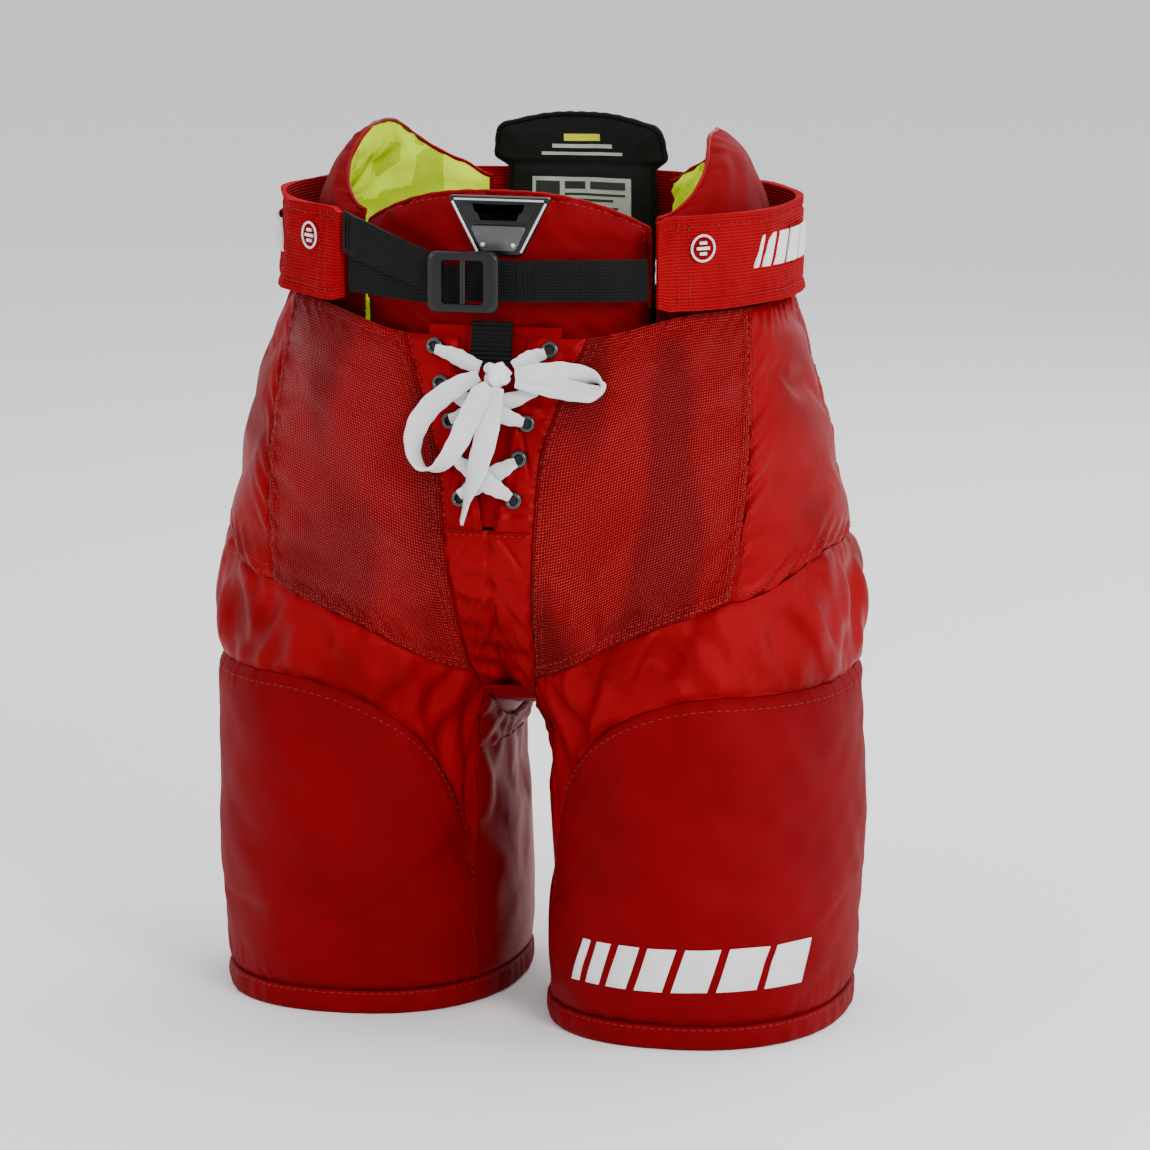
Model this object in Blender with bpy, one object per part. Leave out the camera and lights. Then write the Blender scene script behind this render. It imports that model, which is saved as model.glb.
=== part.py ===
"""Youth ice hockey pants: padded outer shell, height-adjustable girdle and two flexing legs.

Metres, +Z up, -Y is the wearer's front, +X is the wearer's left.  The origin is on the floor
under the middle of the pants, which stand on their two leg hems.
Every soft piece is a slab between two insets of one shared body form.
"""
import math

import bmesh
import bpy
import numpy as np
from mathutils import Matrix, Vector

# Clearances between neighbouring solids
GAP = 0.0006
SEAM_SLACK = 0.0025

# Driving sizes of the body form
LEG_SPREAD = 0.0868
LEG_HALF_WIDTH = 0.0735
LEG_HALF_DEPTH = 0.091
ROUNDNESS = 2.3
CENTRE_CLEARANCE = 0.0008
LEG_TOP = 0.13
HIP_START = 0.25
HEM_LEAN = {1: -0.0135, -1: 0.0145}
HIP_HALF_WIDTH = ((0.10, 0.160), (0.18, 0.160), (0.23, 0.1565), (0.28, 0.1460), (0.336, 0.1300),
                  (0.357, 0.1235))
HIP_HALF_DEPTH = ((0.10, 0.094), (0.18, 0.098), (0.25, 0.1035), (0.30, 0.1040), (0.336, 0.1003),
                  (0.357, 0.0965))
HIP_CENTRE_Y = ((0.22, 0.0), (0.25, 0.0005), (0.30, 0.0040), (0.336, 0.0065), (0.357, 0.0070))
GIRDLE_CENTRE_Y = 0.007
GIRDLE_HALF_WIDTH = ((0.30, 0.1195), (0.35, 0.1165), (0.40, 0.1110), (0.42, 0.1020), (0.436, 0.0900))
GIRDLE_HALF_DEPTH = ((0.30, 0.0880), (0.35, 0.0905), (0.40, 0.0925), (0.42, 0.0900), (0.436, 0.0840))

# Leg pieces
HEM_HEIGHT = 0.0115
HEM_THICKNESS = 0.006
PAD_BOTTOM = HEM_HEIGHT + GAP
PAD_TOP = 0.172
PAD_CORNER_BASE = 0.040
PAD_CORNER_POWER = 2.2
PAD_CORNER_START = 70.0
PAD_INNER_EDGE = 141.0
PAD_BACK_EDGE = -60.0
PAD_THICKNESS = 0.008
GUARD_CLEARANCE = 0.0032
GUARD_THICKNESS = 0.002
GUARD_BACK_EDGE = -45.0
GUARD_BOTTOM = 0.040
GUARD_BELOW_PAD = 0.016
GUARD_SHIFT = 8.0
INNER_PANEL_TOP = 0.128
INNER_PANEL_BACK_TOP = 0.165
FABRIC = 0.0022
LEG_PIVOT_Z = 0.200

# Shell seams
MESH_OUTER_TURN = ((0.215, 70.0), (0.28, 62.0), (0.35, 55.0))
MESH_BOTTOM = ((70.0, 0.218), (102.0, 0.200), (125.0, 0.180), (140.0, 0.172))
PLACKET = ((0.155, 0.0100), (0.18, 0.0165), (0.21, 0.0190), (0.25, 0.0225), (0.29, 0.0260), (0.31, 0.0320),
           (0.346, 0.0460))
CROTCH_HALF_WIDTH = 0.0098
CROTCH_FRONT = 0.1650
FLY_OPENING = ((0.255, 0.0030), (0.29, 0.0085), (0.32, 0.0135), (0.346, 0.0180))
FLY_BOTTOM = 0.252
YOKE_TOP_CENTRE = 0.3455
YOKE_TOP_SIDE = 0.3560
SIDE_SEAM = 0.237
SEAT_SEAM = 0.222
SEAT_CENTRE = 0.186
SIDE_BACK_TURN = -30.0
SIDE_SEAM_GAP = 0.4
HIP_GUARD_TURNS = (-52.0, 48.0)
HIP_GUARD_HEIGHTS = (0.2420, 0.2980)
TAILBONE_HALF_WIDTH = 0.034
TAILBONE_HEIGHTS = (0.205, 0.298)
INNER_GUARD_INSET = 0.0060
INNER_GUARD_THICKNESS = 0.0030

# Fly hardware
EYELET_ROWS = ((0.3400, 0.0285), (0.3225, 0.0245), (0.3050, 0.0190), (0.2880, 0.0155), (0.2680, 0.0133))
EYELET_RADIUS = 0.0031
EYELET_SECTION = 0.0011
TONGUE_SHARE = 0.72
TONGUE_TOP = 0.3500
TONGUE_INSET = FABRIC + 0.0008
TONGUE_THICKNESS = 0.0015
KEEPER_WIDTH = 0.0200
KEEPER_HEIGHTS = (0.3330, 0.3525)
LACE_RADIUS = 0.0014

# Girdle
GIRDLE_SLIDE_Z = 0.36
KIDNEY_ANGLES = (49.0, 149.0)
KIDNEY_BOTTOM = 0.3050
KIDNEY_FRONT_TOP = 0.400
KIDNEY_RISE = 0.035
KIDNEY_BACK_FALL = 0.031
SPINE_TOP = 0.4330
SPINE_NECK_HALF = 0.0400
SPINE_HEAD_HALF = 0.0475
SPINE_ARC_RADIUS = 0.0965
SPINE_THICKNESS = 0.010
BELLY_ANGLE = 46.0
BELLY_BOTTOM, BELLY_SIDE_TOP, BELLY_CROWN = 0.3260, 0.3960, 0.0180
GIRDLE_PAD_THICKNESS = 0.009
WING_BOTTOM, WING_TOP = 0.3585, 0.4040
WING_HALF_WIDTH, WING_HALF_DEPTH = 0.1300, 0.1030
WING_CENTRE_Y = 0.001
WING_THICKNESS = 0.0030
WING_FRONT_ANGLE, WING_BACK_ANGLE = 44.0, 179.4
STRAP_WIDTH, STRAP_THICKNESS = 0.0200, 0.0016
BUCKLE_CENTRE = (-0.0120, -0.1012, 0.3730)
BUCKLE_SIZE = (0.0350, 0.0040, 0.0295)
BUCKLE_CORNER = 0.004
BUCKLE_SLOT = (0.0085, 0.0200, 0.0210)
BUCKLE_SLOT_OFFSET = 0.0058
BUCKLE_PIVOT_X = -0.0295
BADGE_X = 0.0035
RIVET_PLACE = (0.0075, -0.0957, 0.3905)
RIVET_RADIUS = 0.0011
LABEL_HEIGHTS = (0.3780, 0.4010)
LABEL_HALF_WIDTH = 0.029
LABEL_INSET, LABEL_THICKNESS = 0.0103, 0.0008

COLOURS = {
    "red_nylon": ((0.52, 0.010, 0.010), 0.45, 0.0),
    "red_mesh": ((0.46, 0.012, 0.010), 0.55, 0.0),
    "red_pad_cloth": ((0.50, 0.010, 0.010), 0.70, 0.0),
    "red_ribbed_elastic": ((0.50, 0.012, 0.012), 0.85, 0.0),
    "black_knit": ((0.012, 0.012, 0.013), 0.90, 0.0),
    "black_webbing": ((0.015, 0.015, 0.016), 0.75, 0.0),
    "black_plastic": ((0.020, 0.020, 0.022), 0.30, 0.0),
    "silver_paint": ((0.62, 0.63, 0.65), 0.35, 0.4),
    "eyelet_enamel": ((0.015, 0.015, 0.015), 0.15, 0.2),
    "white_cotton": ((0.85, 0.85, 0.86), 0.90, 0.0),
    "guard_plastic": ((0.75, 0.76, 0.78), 0.50, 0.0),
    "label_cloth": ((0.55, 0.56, 0.58), 0.80, 0.0),
}


def clear_scene():
    for thing in list(bpy.data.objects):
        bpy.data.objects.remove(thing)


def material(slot):
    found = bpy.data.materials.get(slot)
    if found:
        return found
    colour, roughness, metallic = COLOURS[slot]
    made = bpy.data.materials.new(slot)
    made.use_nodes = True
    shader = made.node_tree.nodes["Principled BSDF"]
    shader.inputs["Base Color"].default_value = (*colour, 1.0)
    shader.inputs["Roughness"].default_value = roughness
    shader.inputs["Metallic"].default_value = metallic
    return made


def along(knots, at):
    """A smooth curve through (position, value) knots, level beyond both ends."""
    xs = np.array([knot[0] for knot in knots])
    ys = np.array([knot[1] for knot in knots])
    slopes = np.gradient(ys, xs)
    at = np.clip(np.asarray(at, dtype=float), xs[0], xs[-1])
    i = np.clip(np.searchsorted(xs, at) - 1, 0, len(xs) - 2)
    span = xs[i + 1] - xs[i]
    t = (at - xs[i]) / span
    rise = (1 + 2 * t) * (1 - t) ** 2 * ys[i] + t * t * (3 - 2 * t) * ys[i + 1]
    return rise + span * (t * (1 - t) ** 2 * slopes[i] - t * t * (1 - t) * slopes[i + 1])


def smooth(low, high, value):
    t = np.clip((value - low) / (high - low), 0.0, 1.0)
    return t * t * (3 - 2 * t)


def superellipse_value(x, y, half_width, half_depth):
    power = ROUNDNESS
    return np.abs(x / half_width) ** power + np.abs(y / half_depth) ** power


def leg_centre_y(side, z):
    return HEM_LEAN[side] * np.clip(1 - z / HIP_START, 0.0, 1.0)


def form(side, turn, z, inset=0.0):
    """A point on one half of the pants, seen from its leg's centre line.

    turn is in degrees: 0 faces outward, 90 the front, 180 the other leg and -90 the back.
    """
    turn, z = np.broadcast_arrays(np.asarray(turn, float), np.asarray(z, float))
    out, front = np.cos(np.radians(turn)), np.sin(np.radians(turn))
    leg_width, leg_depth = LEG_HALF_WIDTH - inset, LEG_HALF_DEPTH - inset
    leg_reach = superellipse_value(out, front, leg_width, leg_depth) ** (-1 / ROUNDNESS)
    centre_y = leg_centre_y(side, z)
    hip_width = along(HIP_HALF_WIDTH, z) - inset
    hip_depth = along(HIP_HALF_DEPTH, z) - inset
    hip_centre = along(HIP_CENTRE_Y, z)
    low, high = np.zeros_like(z), np.full_like(z, 0.4)
    for _ in range(36):
        middle = (low + high) / 2
        x = LEG_SPREAD + middle * out
        y = centre_y - middle * front
        inside = superellipse_value(x, y - hip_centre, hip_width, hip_depth) < 1
        low = np.where(inside, middle, low)
        high = np.where(inside, high, middle)
    blend = smooth(LEG_TOP, HIP_START, z)
    reach = leg_reach * (1 - blend) + low * blend
    to_centre = (LEG_SPREAD - CENTRE_CLEARANCE - inset * 0.5) / np.maximum(-out, 1e-6)
    reach = np.where(out < 0, np.minimum(reach, to_centre), reach)
    return np.stack([side * (LEG_SPREAD + reach * out), centre_y - reach * front, z], axis=-1)


def turn_at(side, x, z, front=True):
    """The turn at which the form's front (or back) passes through distance x from the centre."""
    x, z = np.broadcast_arrays(np.asarray(x, float), np.asarray(z, float))
    low, high = np.full_like(z, 30.0), np.full_like(z, 175.0)
    sign = 1 if front else -1
    for _ in range(30):
        middle = (low + high) / 2
        outside = side * form(side, sign * middle, z)[..., 0] > x
        low = np.where(outside, middle, low)
        high = np.where(outside, high, middle)
    return sign * low


def girdle_form(angle, z, inset=0.0):
    """A point on the girdle's oval; angle is in degrees, 0 at the front and 90 on the +X side."""
    angle, z = np.broadcast_arrays(np.asarray(angle, float), np.asarray(z, float))
    across, ahead = np.sin(np.radians(angle)), np.cos(np.radians(angle))
    width, depth = along(GIRDLE_HALF_WIDTH, z) - inset, along(GIRDLE_HALF_DEPTH, z) - inset
    reach = ((across / width) ** 2 + (ahead / depth) ** 2) ** -0.5
    return np.stack([reach * across, GIRDLE_CENTRE_Y - reach * ahead, z], axis=-1)


def belt_form(angle, z, inset=0.0):
    """A point on the belt's oval, which goes outside the shell's top edge."""
    angle, z = np.broadcast_arrays(np.asarray(angle, float), np.asarray(z, float))
    across, ahead = np.sin(np.radians(angle)), np.cos(np.radians(angle))
    width, depth = WING_HALF_WIDTH - inset, WING_HALF_DEPTH - inset
    reach = ((across / width) ** 2 + (ahead / depth) ** 2) ** -0.5
    return np.stack([reach * across, WING_CENTRE_Y - reach * ahead, z], axis=-1)


def add_object(name, bm, slot):
    bmesh.ops.recalc_face_normals(bm, faces=bm.faces)
    mesh = bpy.data.meshes.new(name)
    bm.to_mesh(mesh)
    bm.free()
    mesh.shade_smooth()
    mesh.set_sharp_from_angle(angle=math.radians(40))
    mesh.materials.append(material(slot))
    thing = bpy.data.objects.new(name, mesh)
    bpy.context.scene.collection.objects.link(thing)
    return thing


def slab(name, slot, outer, inner, looped=False):
    """A closed slab between two grids of points; looped joins the last column to the first."""
    bm = bmesh.new()
    columns, rows = outer.shape[:2]
    skins = [[[bm.verts.new(point) for point in column] for column in grid] for grid in (outer, inner)]
    last = columns if looped else columns - 1
    for skin in skins:
        for i in range(last):
            for j in range(rows - 1):
                a, b = skin[i], skin[(i + 1) % columns]
                bm.faces.new((a[j], b[j], b[j + 1], a[j + 1]))
    top, under = skins
    for i in range(last):
        k = (i + 1) % columns
        for j in (0, rows - 1):
            bm.faces.new((top[i][j], top[k][j], under[k][j], under[i][j]))
    if not looped:
        for i in (0, columns - 1):
            for j in range(rows - 1):
                bm.faces.new((top[i][j], top[i][j + 1], under[i][j + 1], under[i][j]))
    return add_object(name, bm, slot)


def half_patch(name, slot, side, turns, heights, inset, thickness, looped=False):
    """A slab on one half of the form; turns and heights are grids."""
    outer = form(side, turns, heights, inset)
    inner = form(side, turns, heights, inset + thickness)
    return slab(name, slot, outer, inner, looped)


def steps(count):
    return np.linspace(0.0, 1.0, count + 1)


def mix(a, b, share):
    return a * (1 - share) + b * share


def side_name(side):
    return "left" if side > 0 else "right"


def box_object(name, slot, centre, size, rounding):
    bm = bmesh.new()
    bmesh.ops.create_cube(bm, size=1.0)
    bmesh.ops.scale(bm, vec=size, verts=bm.verts)
    round_upright_edges(bm, size[1], rounding, 3)
    thing = add_object(name, bm, slot)
    thing.location = centre
    return thing


def round_upright_edges(bm, depth, radius, segments):
    """Rounds the edges that run from the front face to the back face of a plate."""
    upright = [e for e in bm.edges if abs(e.verts[0].co.y - e.verts[1].co.y) > depth / 2]
    bmesh.ops.bevel(bm, geom=upright, offset=radius, segments=segments, affect="EDGES", profile=0.5)


def hang_on_pivot(name, place, pieces):
    """Parents the pieces to an empty on their joint's axis, without moving them."""
    pivot = bpy.data.objects.new(name, None)
    pivot.location = place
    bpy.context.scene.collection.objects.link(pivot)
    for piece in pieces:
        thing = bpy.data.objects[piece]
        thing.parent = pivot
        thing.matrix_parent_inverse = Matrix.Translation(place).inverted()
    return pivot


# ---------------------------------------------------------------- legs

def pad_top(turn):
    """Height of the thigh pad's edge: level outside, falling in a rounded corner to the inside."""
    share = np.clip((turn - PAD_CORNER_START) / (PAD_INNER_EDGE - PAD_CORNER_START), 0.0, 1.0)
    corner = (1 - share ** PAD_CORNER_POWER) ** (1 / PAD_CORNER_POWER)
    return PAD_CORNER_BASE + (PAD_TOP - PAD_CORNER_BASE) * corner


def corner_turns(back, count_flat, count_corner):
    """Turns from the pad's back edge to its inner edge, closer together round the corner."""
    flat = mix(back, PAD_CORNER_START, steps(count_flat))
    corner = np.sin(np.radians(90 * steps(count_corner)[1:]))
    return np.concatenate([flat, mix(PAD_CORNER_START, PAD_INNER_EDGE, corner)])


def thigh_pad(side):
    turns = corner_turns(PAD_BACK_EDGE, 7, 6)[:, None]
    heights = mix(PAD_BOTTOM, pad_top(turns), steps(6)[None, :])
    half_patch(side_name(side) + "_thigh_pad", "red_pad_cloth", side, turns, heights, 0.0, PAD_THICKNESS)


def thigh_guard(side):
    turns = corner_turns(GUARD_BACK_EDGE, 5, 4)[:, None] - GUARD_SHIFT
    top = pad_top(turns + 14.0) - GUARD_BELOW_PAD
    heights = mix(GUARD_BOTTOM, np.maximum(top, GUARD_BOTTOM + 0.010), steps(4)[None, :])
    half_patch(side_name(side) + "_thigh_guard", "guard_plastic", side, turns, heights,
               PAD_THICKNESS + GUARD_CLEARANCE, GUARD_THICKNESS)


def inner_panel_top(turns):
    return mix(INNER_PANEL_TOP, INNER_PANEL_BACK_TOP, smooth(215.0, 290.0, turns))


def inner_thigh_panel(side):
    turns = mix(PAD_INNER_EDGE + 2.0, 360.0 + PAD_BACK_EDGE - 0.6, steps(13))[:, None]
    heights = mix(PAD_BOTTOM, inner_panel_top(turns), steps(5)[None, :])
    half_patch(side_name(side) + "_inner_thigh_panel", "red_nylon", side, turns, heights, 0.0, FABRIC)


def hem_binding(side):
    turns = (360.0 * steps(30)[:-1])[:, None]
    levels = np.array([0.0, 0.0028, 0.0087, HEM_HEIGHT])[None, :]
    proud = np.array([0.0, 0.0012, 0.0012, 0.0])[None, :]
    outer = form(side, turns, levels, 0.0005 - proud)
    inner = form(side, turns, levels, HEM_THICKNESS)
    slab(side_name(side) + "_hem_binding", "red_pad_cloth", outer, inner, looped=True)


def height_beside_centre(side, turns):
    """The height at which the form closes up to the gussets along the centre."""
    low, high = np.full_like(turns, LEG_TOP), np.full_like(turns, HIP_START)
    for _ in range(30):
        middle = (low + high) / 2
        clear = side * form(side, turns, middle)[..., 0] > along(PLACKET, middle) + GAP
        low = np.where(clear, middle, low)
        high = np.where(clear, high, middle)
    return low


def flex_gusset(side):
    """The gathered ring between a leg's rigid pieces and the shell."""
    corner = corner_turns(PAD_BACK_EDGE, 7, 6)
    inside = mix(PAD_INNER_EDGE + 1.5, 360.0 + PAD_BACK_EDGE - 8.0, steps(10))
    turns = np.concatenate([corner, inside])
    lower = np.where(turns <= PAD_INNER_EDGE, pad_top(turns), inner_panel_top(turns) + GAP) + GAP
    lower[0] = max(lower[0], PAD_TOP + 0.001)
    front_top = np.where(turns < 70.0, shell_bottom(turns), along(MESH_BOTTOM, turns))
    back_top = shell_bottom(turns - 360.0)
    upper = np.where(turns < 180.0, front_top, back_top)
    upper = np.minimum(upper, height_beside_centre(side, turns)) - SEAM_SLACK
    heights = mix(lower[:, None], upper[:, None], steps(4)[None, :])
    half_patch(side_name(side) + "_flex_gusset", "red_nylon", side, turns[:, None], heights,
               0.0, FABRIC, looped=True)


# ---------------------------------------------------------------- shell

def shell_bottom(turn):
    """The shell's lower seam round the side and the back."""
    side_part = mix(0.218, SIDE_SEAM, smooth(70.0, 20.0, turn))
    seat_part = mix(side_part, SEAT_SEAM, smooth(-20.0, -60.0, turn))
    return mix(seat_part, SEAT_CENTRE, smooth(-75.0, -130.0, turn))


def yoke_top(x):
    return mix(YOKE_TOP_CENTRE, YOKE_TOP_SIDE, smooth(0.04, 0.10, x))


def shell_panel(name, slot, side, turn_start, turn_end, bottom, columns, rows):
    """A shell panel whose side edges follow turn_start(z) and turn_end(z)."""
    across, up = steps(columns)[:, None], steps(rows)[None, :]
    heights = np.full((columns + 1, rows + 1), 0.28)
    for _ in range(6):
        turns = mix(turn_start(heights), turn_end(heights), across)
        top = yoke_top(np.abs(form(side, turns, heights)[..., 0]))
        heights = mix(bottom(turns[:, :1]), top[:, -1:], up)
    return half_patch(name, slot, side, turns, heights, 0.0, FABRIC)


def mesh_panel(side):
    shell_panel(side_name(side) + "_mesh_panel", "red_mesh", side,
                lambda z: along(MESH_OUTER_TURN, z) + SIDE_SEAM_GAP,
                lambda z: turn_at(side, along(PLACKET, z) + GAP, z),
                lambda turn: along(MESH_BOTTOM, turn), 8, 9)


def side_panel(side):
    shell_panel(side_name(side) + "_side_panel", "red_nylon", side,
                lambda z: np.full_like(z, SIDE_BACK_TURN),
                lambda z: along(MESH_OUTER_TURN, z) - SIDE_SEAM_GAP, shell_bottom, 9, 7)


def seat_panel(side):
    shell_panel(side_name(side) + "_seat_panel", "red_nylon", side,
                lambda z: turn_at(side, 0.0012, z, front=False),
                lambda z: np.full_like(z, SIDE_BACK_TURN - 2 * SIDE_SEAM_GAP), shell_bottom, 9, 8)


def fly_facing(side):
    """The facing beside the fly opening, from the opening's edge to the mesh panel."""
    z = mix(FLY_BOTTOM + GAP, YOKE_TOP_CENTRE, steps(8))[None, :] + 0.0 * steps(3)[:, None]
    x = mix(along(FLY_OPENING, z), along(PLACKET, z), steps(3)[:, None])
    half_patch(side_name(side) + "_fly_facing", "red_nylon", side, turn_at(side, x, z), z, 0.0, FABRIC)


def across_front(x, z, inset):
    """Points on the front of the form at signed distances x from the centre."""
    distance = np.maximum(np.abs(x), CENTRE_CLEARANCE + 0.0006)
    points = form(1, turn_at(1, distance, z), z, inset)
    points[..., 0] = x
    points[..., 2] = z
    return points


def front_panel(name, half_width, low, high, inset, thickness):
    """A slab across the centre of the front."""
    z = mix(low, high, steps(7))[None, :]
    x = half_width(z) * (2 * steps(6)[:, None] - 1)
    z = np.broadcast_to(z, x.shape)
    slab(name, "red_nylon", across_front(x, z, inset), across_front(x, z, inset + thickness))


def crotch_gusset():
    """A strip from the front gusset, under the crotch and up to the seat panels."""
    saddle = [(-0.050, 0.1578), (-0.030, 0.1545), (0.0, 0.1530), (0.030, 0.1545), (0.056, 0.1590)]
    for z in (0.1680, 0.1770, SEAT_CENTRE - SEAM_SLACK):
        turn = turn_at(1, CROTCH_HALF_WIDTH, z, front=False)
        saddle.append((float(form(1, turn, z)[1]), z))
    line = np.array(saddle)
    x = np.broadcast_to(CROTCH_HALF_WIDTH * (2 * steps(2)[:, None] - 1), (3, len(line)))
    lower = np.stack(np.broadcast_arrays(x, line[:, 0], line[:, 1]), axis=-1)
    slope = np.gradient(line, axis=0)
    slope /= np.linalg.norm(slope, axis=1)[:, None]
    inward = np.stack([0 * slope[:, 0], -slope[:, 1], slope[:, 0]], axis=-1)
    slab("crotch_gusset", "red_nylon", lower, lower + inward * FABRIC)


def eyelet(name, side, height, distance):
    face = form(side, turn_at(side, distance, height), height)
    beside = form(side, turn_at(side, distance + 0.004, height), height)
    above = form(side, turn_at(side, distance, height + 0.004), height + 0.004)
    out = Vector(beside - face).cross(Vector(above - face)).normalized()
    if out.y > 0:
        out.negate()
    bpy.ops.mesh.primitive_torus_add(major_radius=EYELET_RADIUS, minor_radius=EYELET_SECTION,
                                     major_segments=14, minor_segments=5)
    ring = bpy.context.object
    ring.name = name
    ring.data.name = name
    ring.location = Vector(face) + out * (EYELET_SECTION + 0.0004)
    ring.rotation_euler = out.to_track_quat("Z", "Y").to_euler()
    ring.data.materials.append(material("eyelet_enamel"))
    ring.data.shade_smooth()


def eyelets(side):
    for row, (height, distance) in enumerate(EYELET_ROWS, start=1):
        eyelet(f"{side_name(side)}_eyelet_{row}", side, height, distance)


def lace_keeper():
    """A webbing tab sewn to the top of the tongue and turned down over the lace."""
    z = mix(*KEEPER_HEIGHTS, steps(3))[None, :]
    x = KEEPER_WIDTH / 2 * (2 * steps(2)[:, None] - 1)
    z = np.broadcast_to(z, x.shape[:1] + z.shape[1:])
    x = np.broadcast_to(x, z.shape)
    slab("lace_keeper", "black_webbing", across_front(x, z, -0.0015), across_front(x, z, -0.0003))


# Lace routes, as (x, height, distance out from the cloth), one list for each run of the lace
LACE_ROUTES = {
    "lace_cross_low_a": ((0.0148, 0.2872, 0.0048), (0.0080, 0.2830, 0.0042), (0.0, 0.2780, 0.0042),
                         (-0.0070, 0.2735, 0.0040), (-0.0128, 0.2700, 0.0048)),
    "lace_cross_low_b": ((-0.0148, 0.2872, 0.0048), (-0.0080, 0.2830, 0.0052), (0.0, 0.2780, 0.0076),
                         (0.0070, 0.2735, 0.0058), (0.0128, 0.2700, 0.0048)),
    "lace_cross_mid_a": ((0.0238, 0.3215, 0.0048), (0.0120, 0.3165, 0.0042), (0.0, 0.3125, 0.0042),
                         (-0.0110, 0.3085, 0.0040), (-0.0183, 0.3062, 0.0048)),
    "lace_cross_mid_b": ((-0.0238, 0.3215, 0.0048), (-0.0120, 0.3165, 0.0052), (0.0, 0.3125, 0.0076),
                         (0.0110, 0.3085, 0.0058), (0.0183, 0.3062, 0.0048)),
    "lace_top_run_right": ((-0.0272, 0.3392, 0.0048), (-0.0190, 0.3372, 0.0050), (-0.0110, 0.3345, 0.0070),
                           (-0.0035, 0.3318, 0.0085)),
    "lace_top_run_left": ((0.0275, 0.3392, 0.0048), (0.0225, 0.3375, 0.0050), (0.0180, 0.3352, 0.0070),
                          (0.0135, 0.3325, 0.0085)),
    "lace_loop_right": ((-0.0035, 0.3285, 0.0100), (-0.0130, 0.3235, 0.0125), (-0.0245, 0.3150, 0.0130),
                        (-0.0325, 0.3040, 0.0125), (-0.0345, 0.2920, 0.0115), (-0.0300, 0.2835, 0.0110),
                        (-0.0215, 0.2845, 0.0120), (-0.0130, 0.2945, 0.0140), (-0.0065, 0.3080, 0.0150),
                        (-0.0010, 0.3200, 0.0145), (0.0030, 0.3245, 0.0135)),
    "lace_loop_left": ((0.0150, 0.3300, 0.0110), (0.0250, 0.3305, 0.0130), (0.0380, 0.3310, 0.0120),
                       (0.0500, 0.3290, 0.0100), (0.0560, 0.3250, 0.0090), (0.0500, 0.3215, 0.0085),
                       (0.0380, 0.3235, 0.0095), (0.0250, 0.3255, 0.0105), (0.0150, 0.3265, 0.0105)),
    "lace_long_tail": ((0.0065, 0.3235, 0.0115), (0.0045, 0.3150, 0.0128), (0.0020, 0.3000, 0.0130),
                       (-0.0020, 0.2850, 0.0125), (-0.0075, 0.2700, 0.0095), (-0.0110, 0.2580, 0.0060)),
}
KNOT_CENTRE = (0.0058, 0.3295, 0.0095)
KNOT_SIZE = (0.0072, 0.0040, 0.0048)


def out_from_cloth(place):
    x, z, lift = place
    point = across_front(np.array([x]), np.array([z]), 0.0)[0]
    return Vector((point[0], point[1] - lift, point[2]))


def smooth_route(points, per_span):
    """Points along a Catmull-Rom curve through the route's own points."""
    ends = [points[0] * 2 - points[1], *points, points[-1] * 2 - points[-2]]
    route = []
    for a, b, c, d in zip(ends, ends[1:], ends[2:], ends[3:]):
        for k in range(per_span):
            t = k / per_span
            route.append(0.5 * (2 * b + (c - a) * t + (2 * a - 5 * b + 4 * c - d) * t * t
                                + (3 * b - a - 3 * c + d) * t ** 3))
    route.append(points[-1])
    return route


def lace_tube(name, places):
    curve = bpy.data.curves.new(name, "CURVE")
    curve.dimensions = "3D"
    curve.bevel_depth = LACE_RADIUS
    curve.bevel_resolution = 2
    curve.use_fill_caps = True
    spline = curve.splines.new("POLY")
    route = smooth_route([out_from_cloth(place) for place in places], 2)
    spline.points.add(len(route) - 1)
    for target, point in zip(spline.points, route):
        target.co = (*point, 1.0)
    curve.materials.append(material("white_cotton"))
    bpy.context.scene.collection.objects.link(bpy.data.objects.new(name, curve))


def lace_knot():
    bm = bmesh.new()
    bmesh.ops.create_uvsphere(bm, u_segments=10, v_segments=7, radius=1.0)
    bmesh.ops.scale(bm, vec=KNOT_SIZE, verts=bm.verts)
    knot = add_object("lace_knot", bm, "white_cotton")
    knot.location = out_from_cloth(KNOT_CENTRE)


def hip_guard(side):
    turns = mix(*HIP_GUARD_TURNS, steps(6))[:, None]
    heights = mix(*HIP_GUARD_HEIGHTS, steps(3))[None, :] + 0.0 * turns
    half_patch(side_name(side) + "_hip_guard", "guard_plastic", side, turns, heights,
               INNER_GUARD_INSET, INNER_GUARD_THICKNESS)


def tailbone_guard():
    x = TAILBONE_HALF_WIDTH * (2 * steps(4)[:, None] - 1)
    z = mix(*TAILBONE_HEIGHTS, steps(4))[None, :] + 0.0 * x
    distance = np.maximum(np.abs(x + 0.0 * z), 0.004)
    turns = turn_at(1, distance, z, front=False)
    outer = form(1, turns, z, INNER_GUARD_INSET)
    inner = form(1, turns, z, INNER_GUARD_INSET + INNER_GUARD_THICKNESS)
    outer[..., 0] = x
    inner[..., 0] = x
    slab("tailbone_guard", "guard_plastic", outer, inner)


# ---------------------------------------------------------------- girdle

def girdle_patch(name, slot, angles, heights, inset, thickness):
    slab(name, slot, girdle_form(angles, heights, inset), girdle_form(angles, heights, inset + thickness))


def kidney_pad(side):
    """The side pad; its top rises from the front to above the hip and falls again to the back."""
    angles = mix(*KIDNEY_ANGLES, steps(10))[:, None]
    rise = KIDNEY_RISE * smooth(47.0, 88.0, angles)
    top = KIDNEY_FRONT_TOP + rise - KIDNEY_BACK_FALL * smooth(100.0, 152.0, angles)
    heights = mix(KIDNEY_BOTTOM, top, steps(7)[None, :])
    girdle_patch(side_name(side) + "_kidney_pad", "red_nylon", side * angles, heights,
                 0.0, GIRDLE_PAD_THICKNESS)


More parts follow.
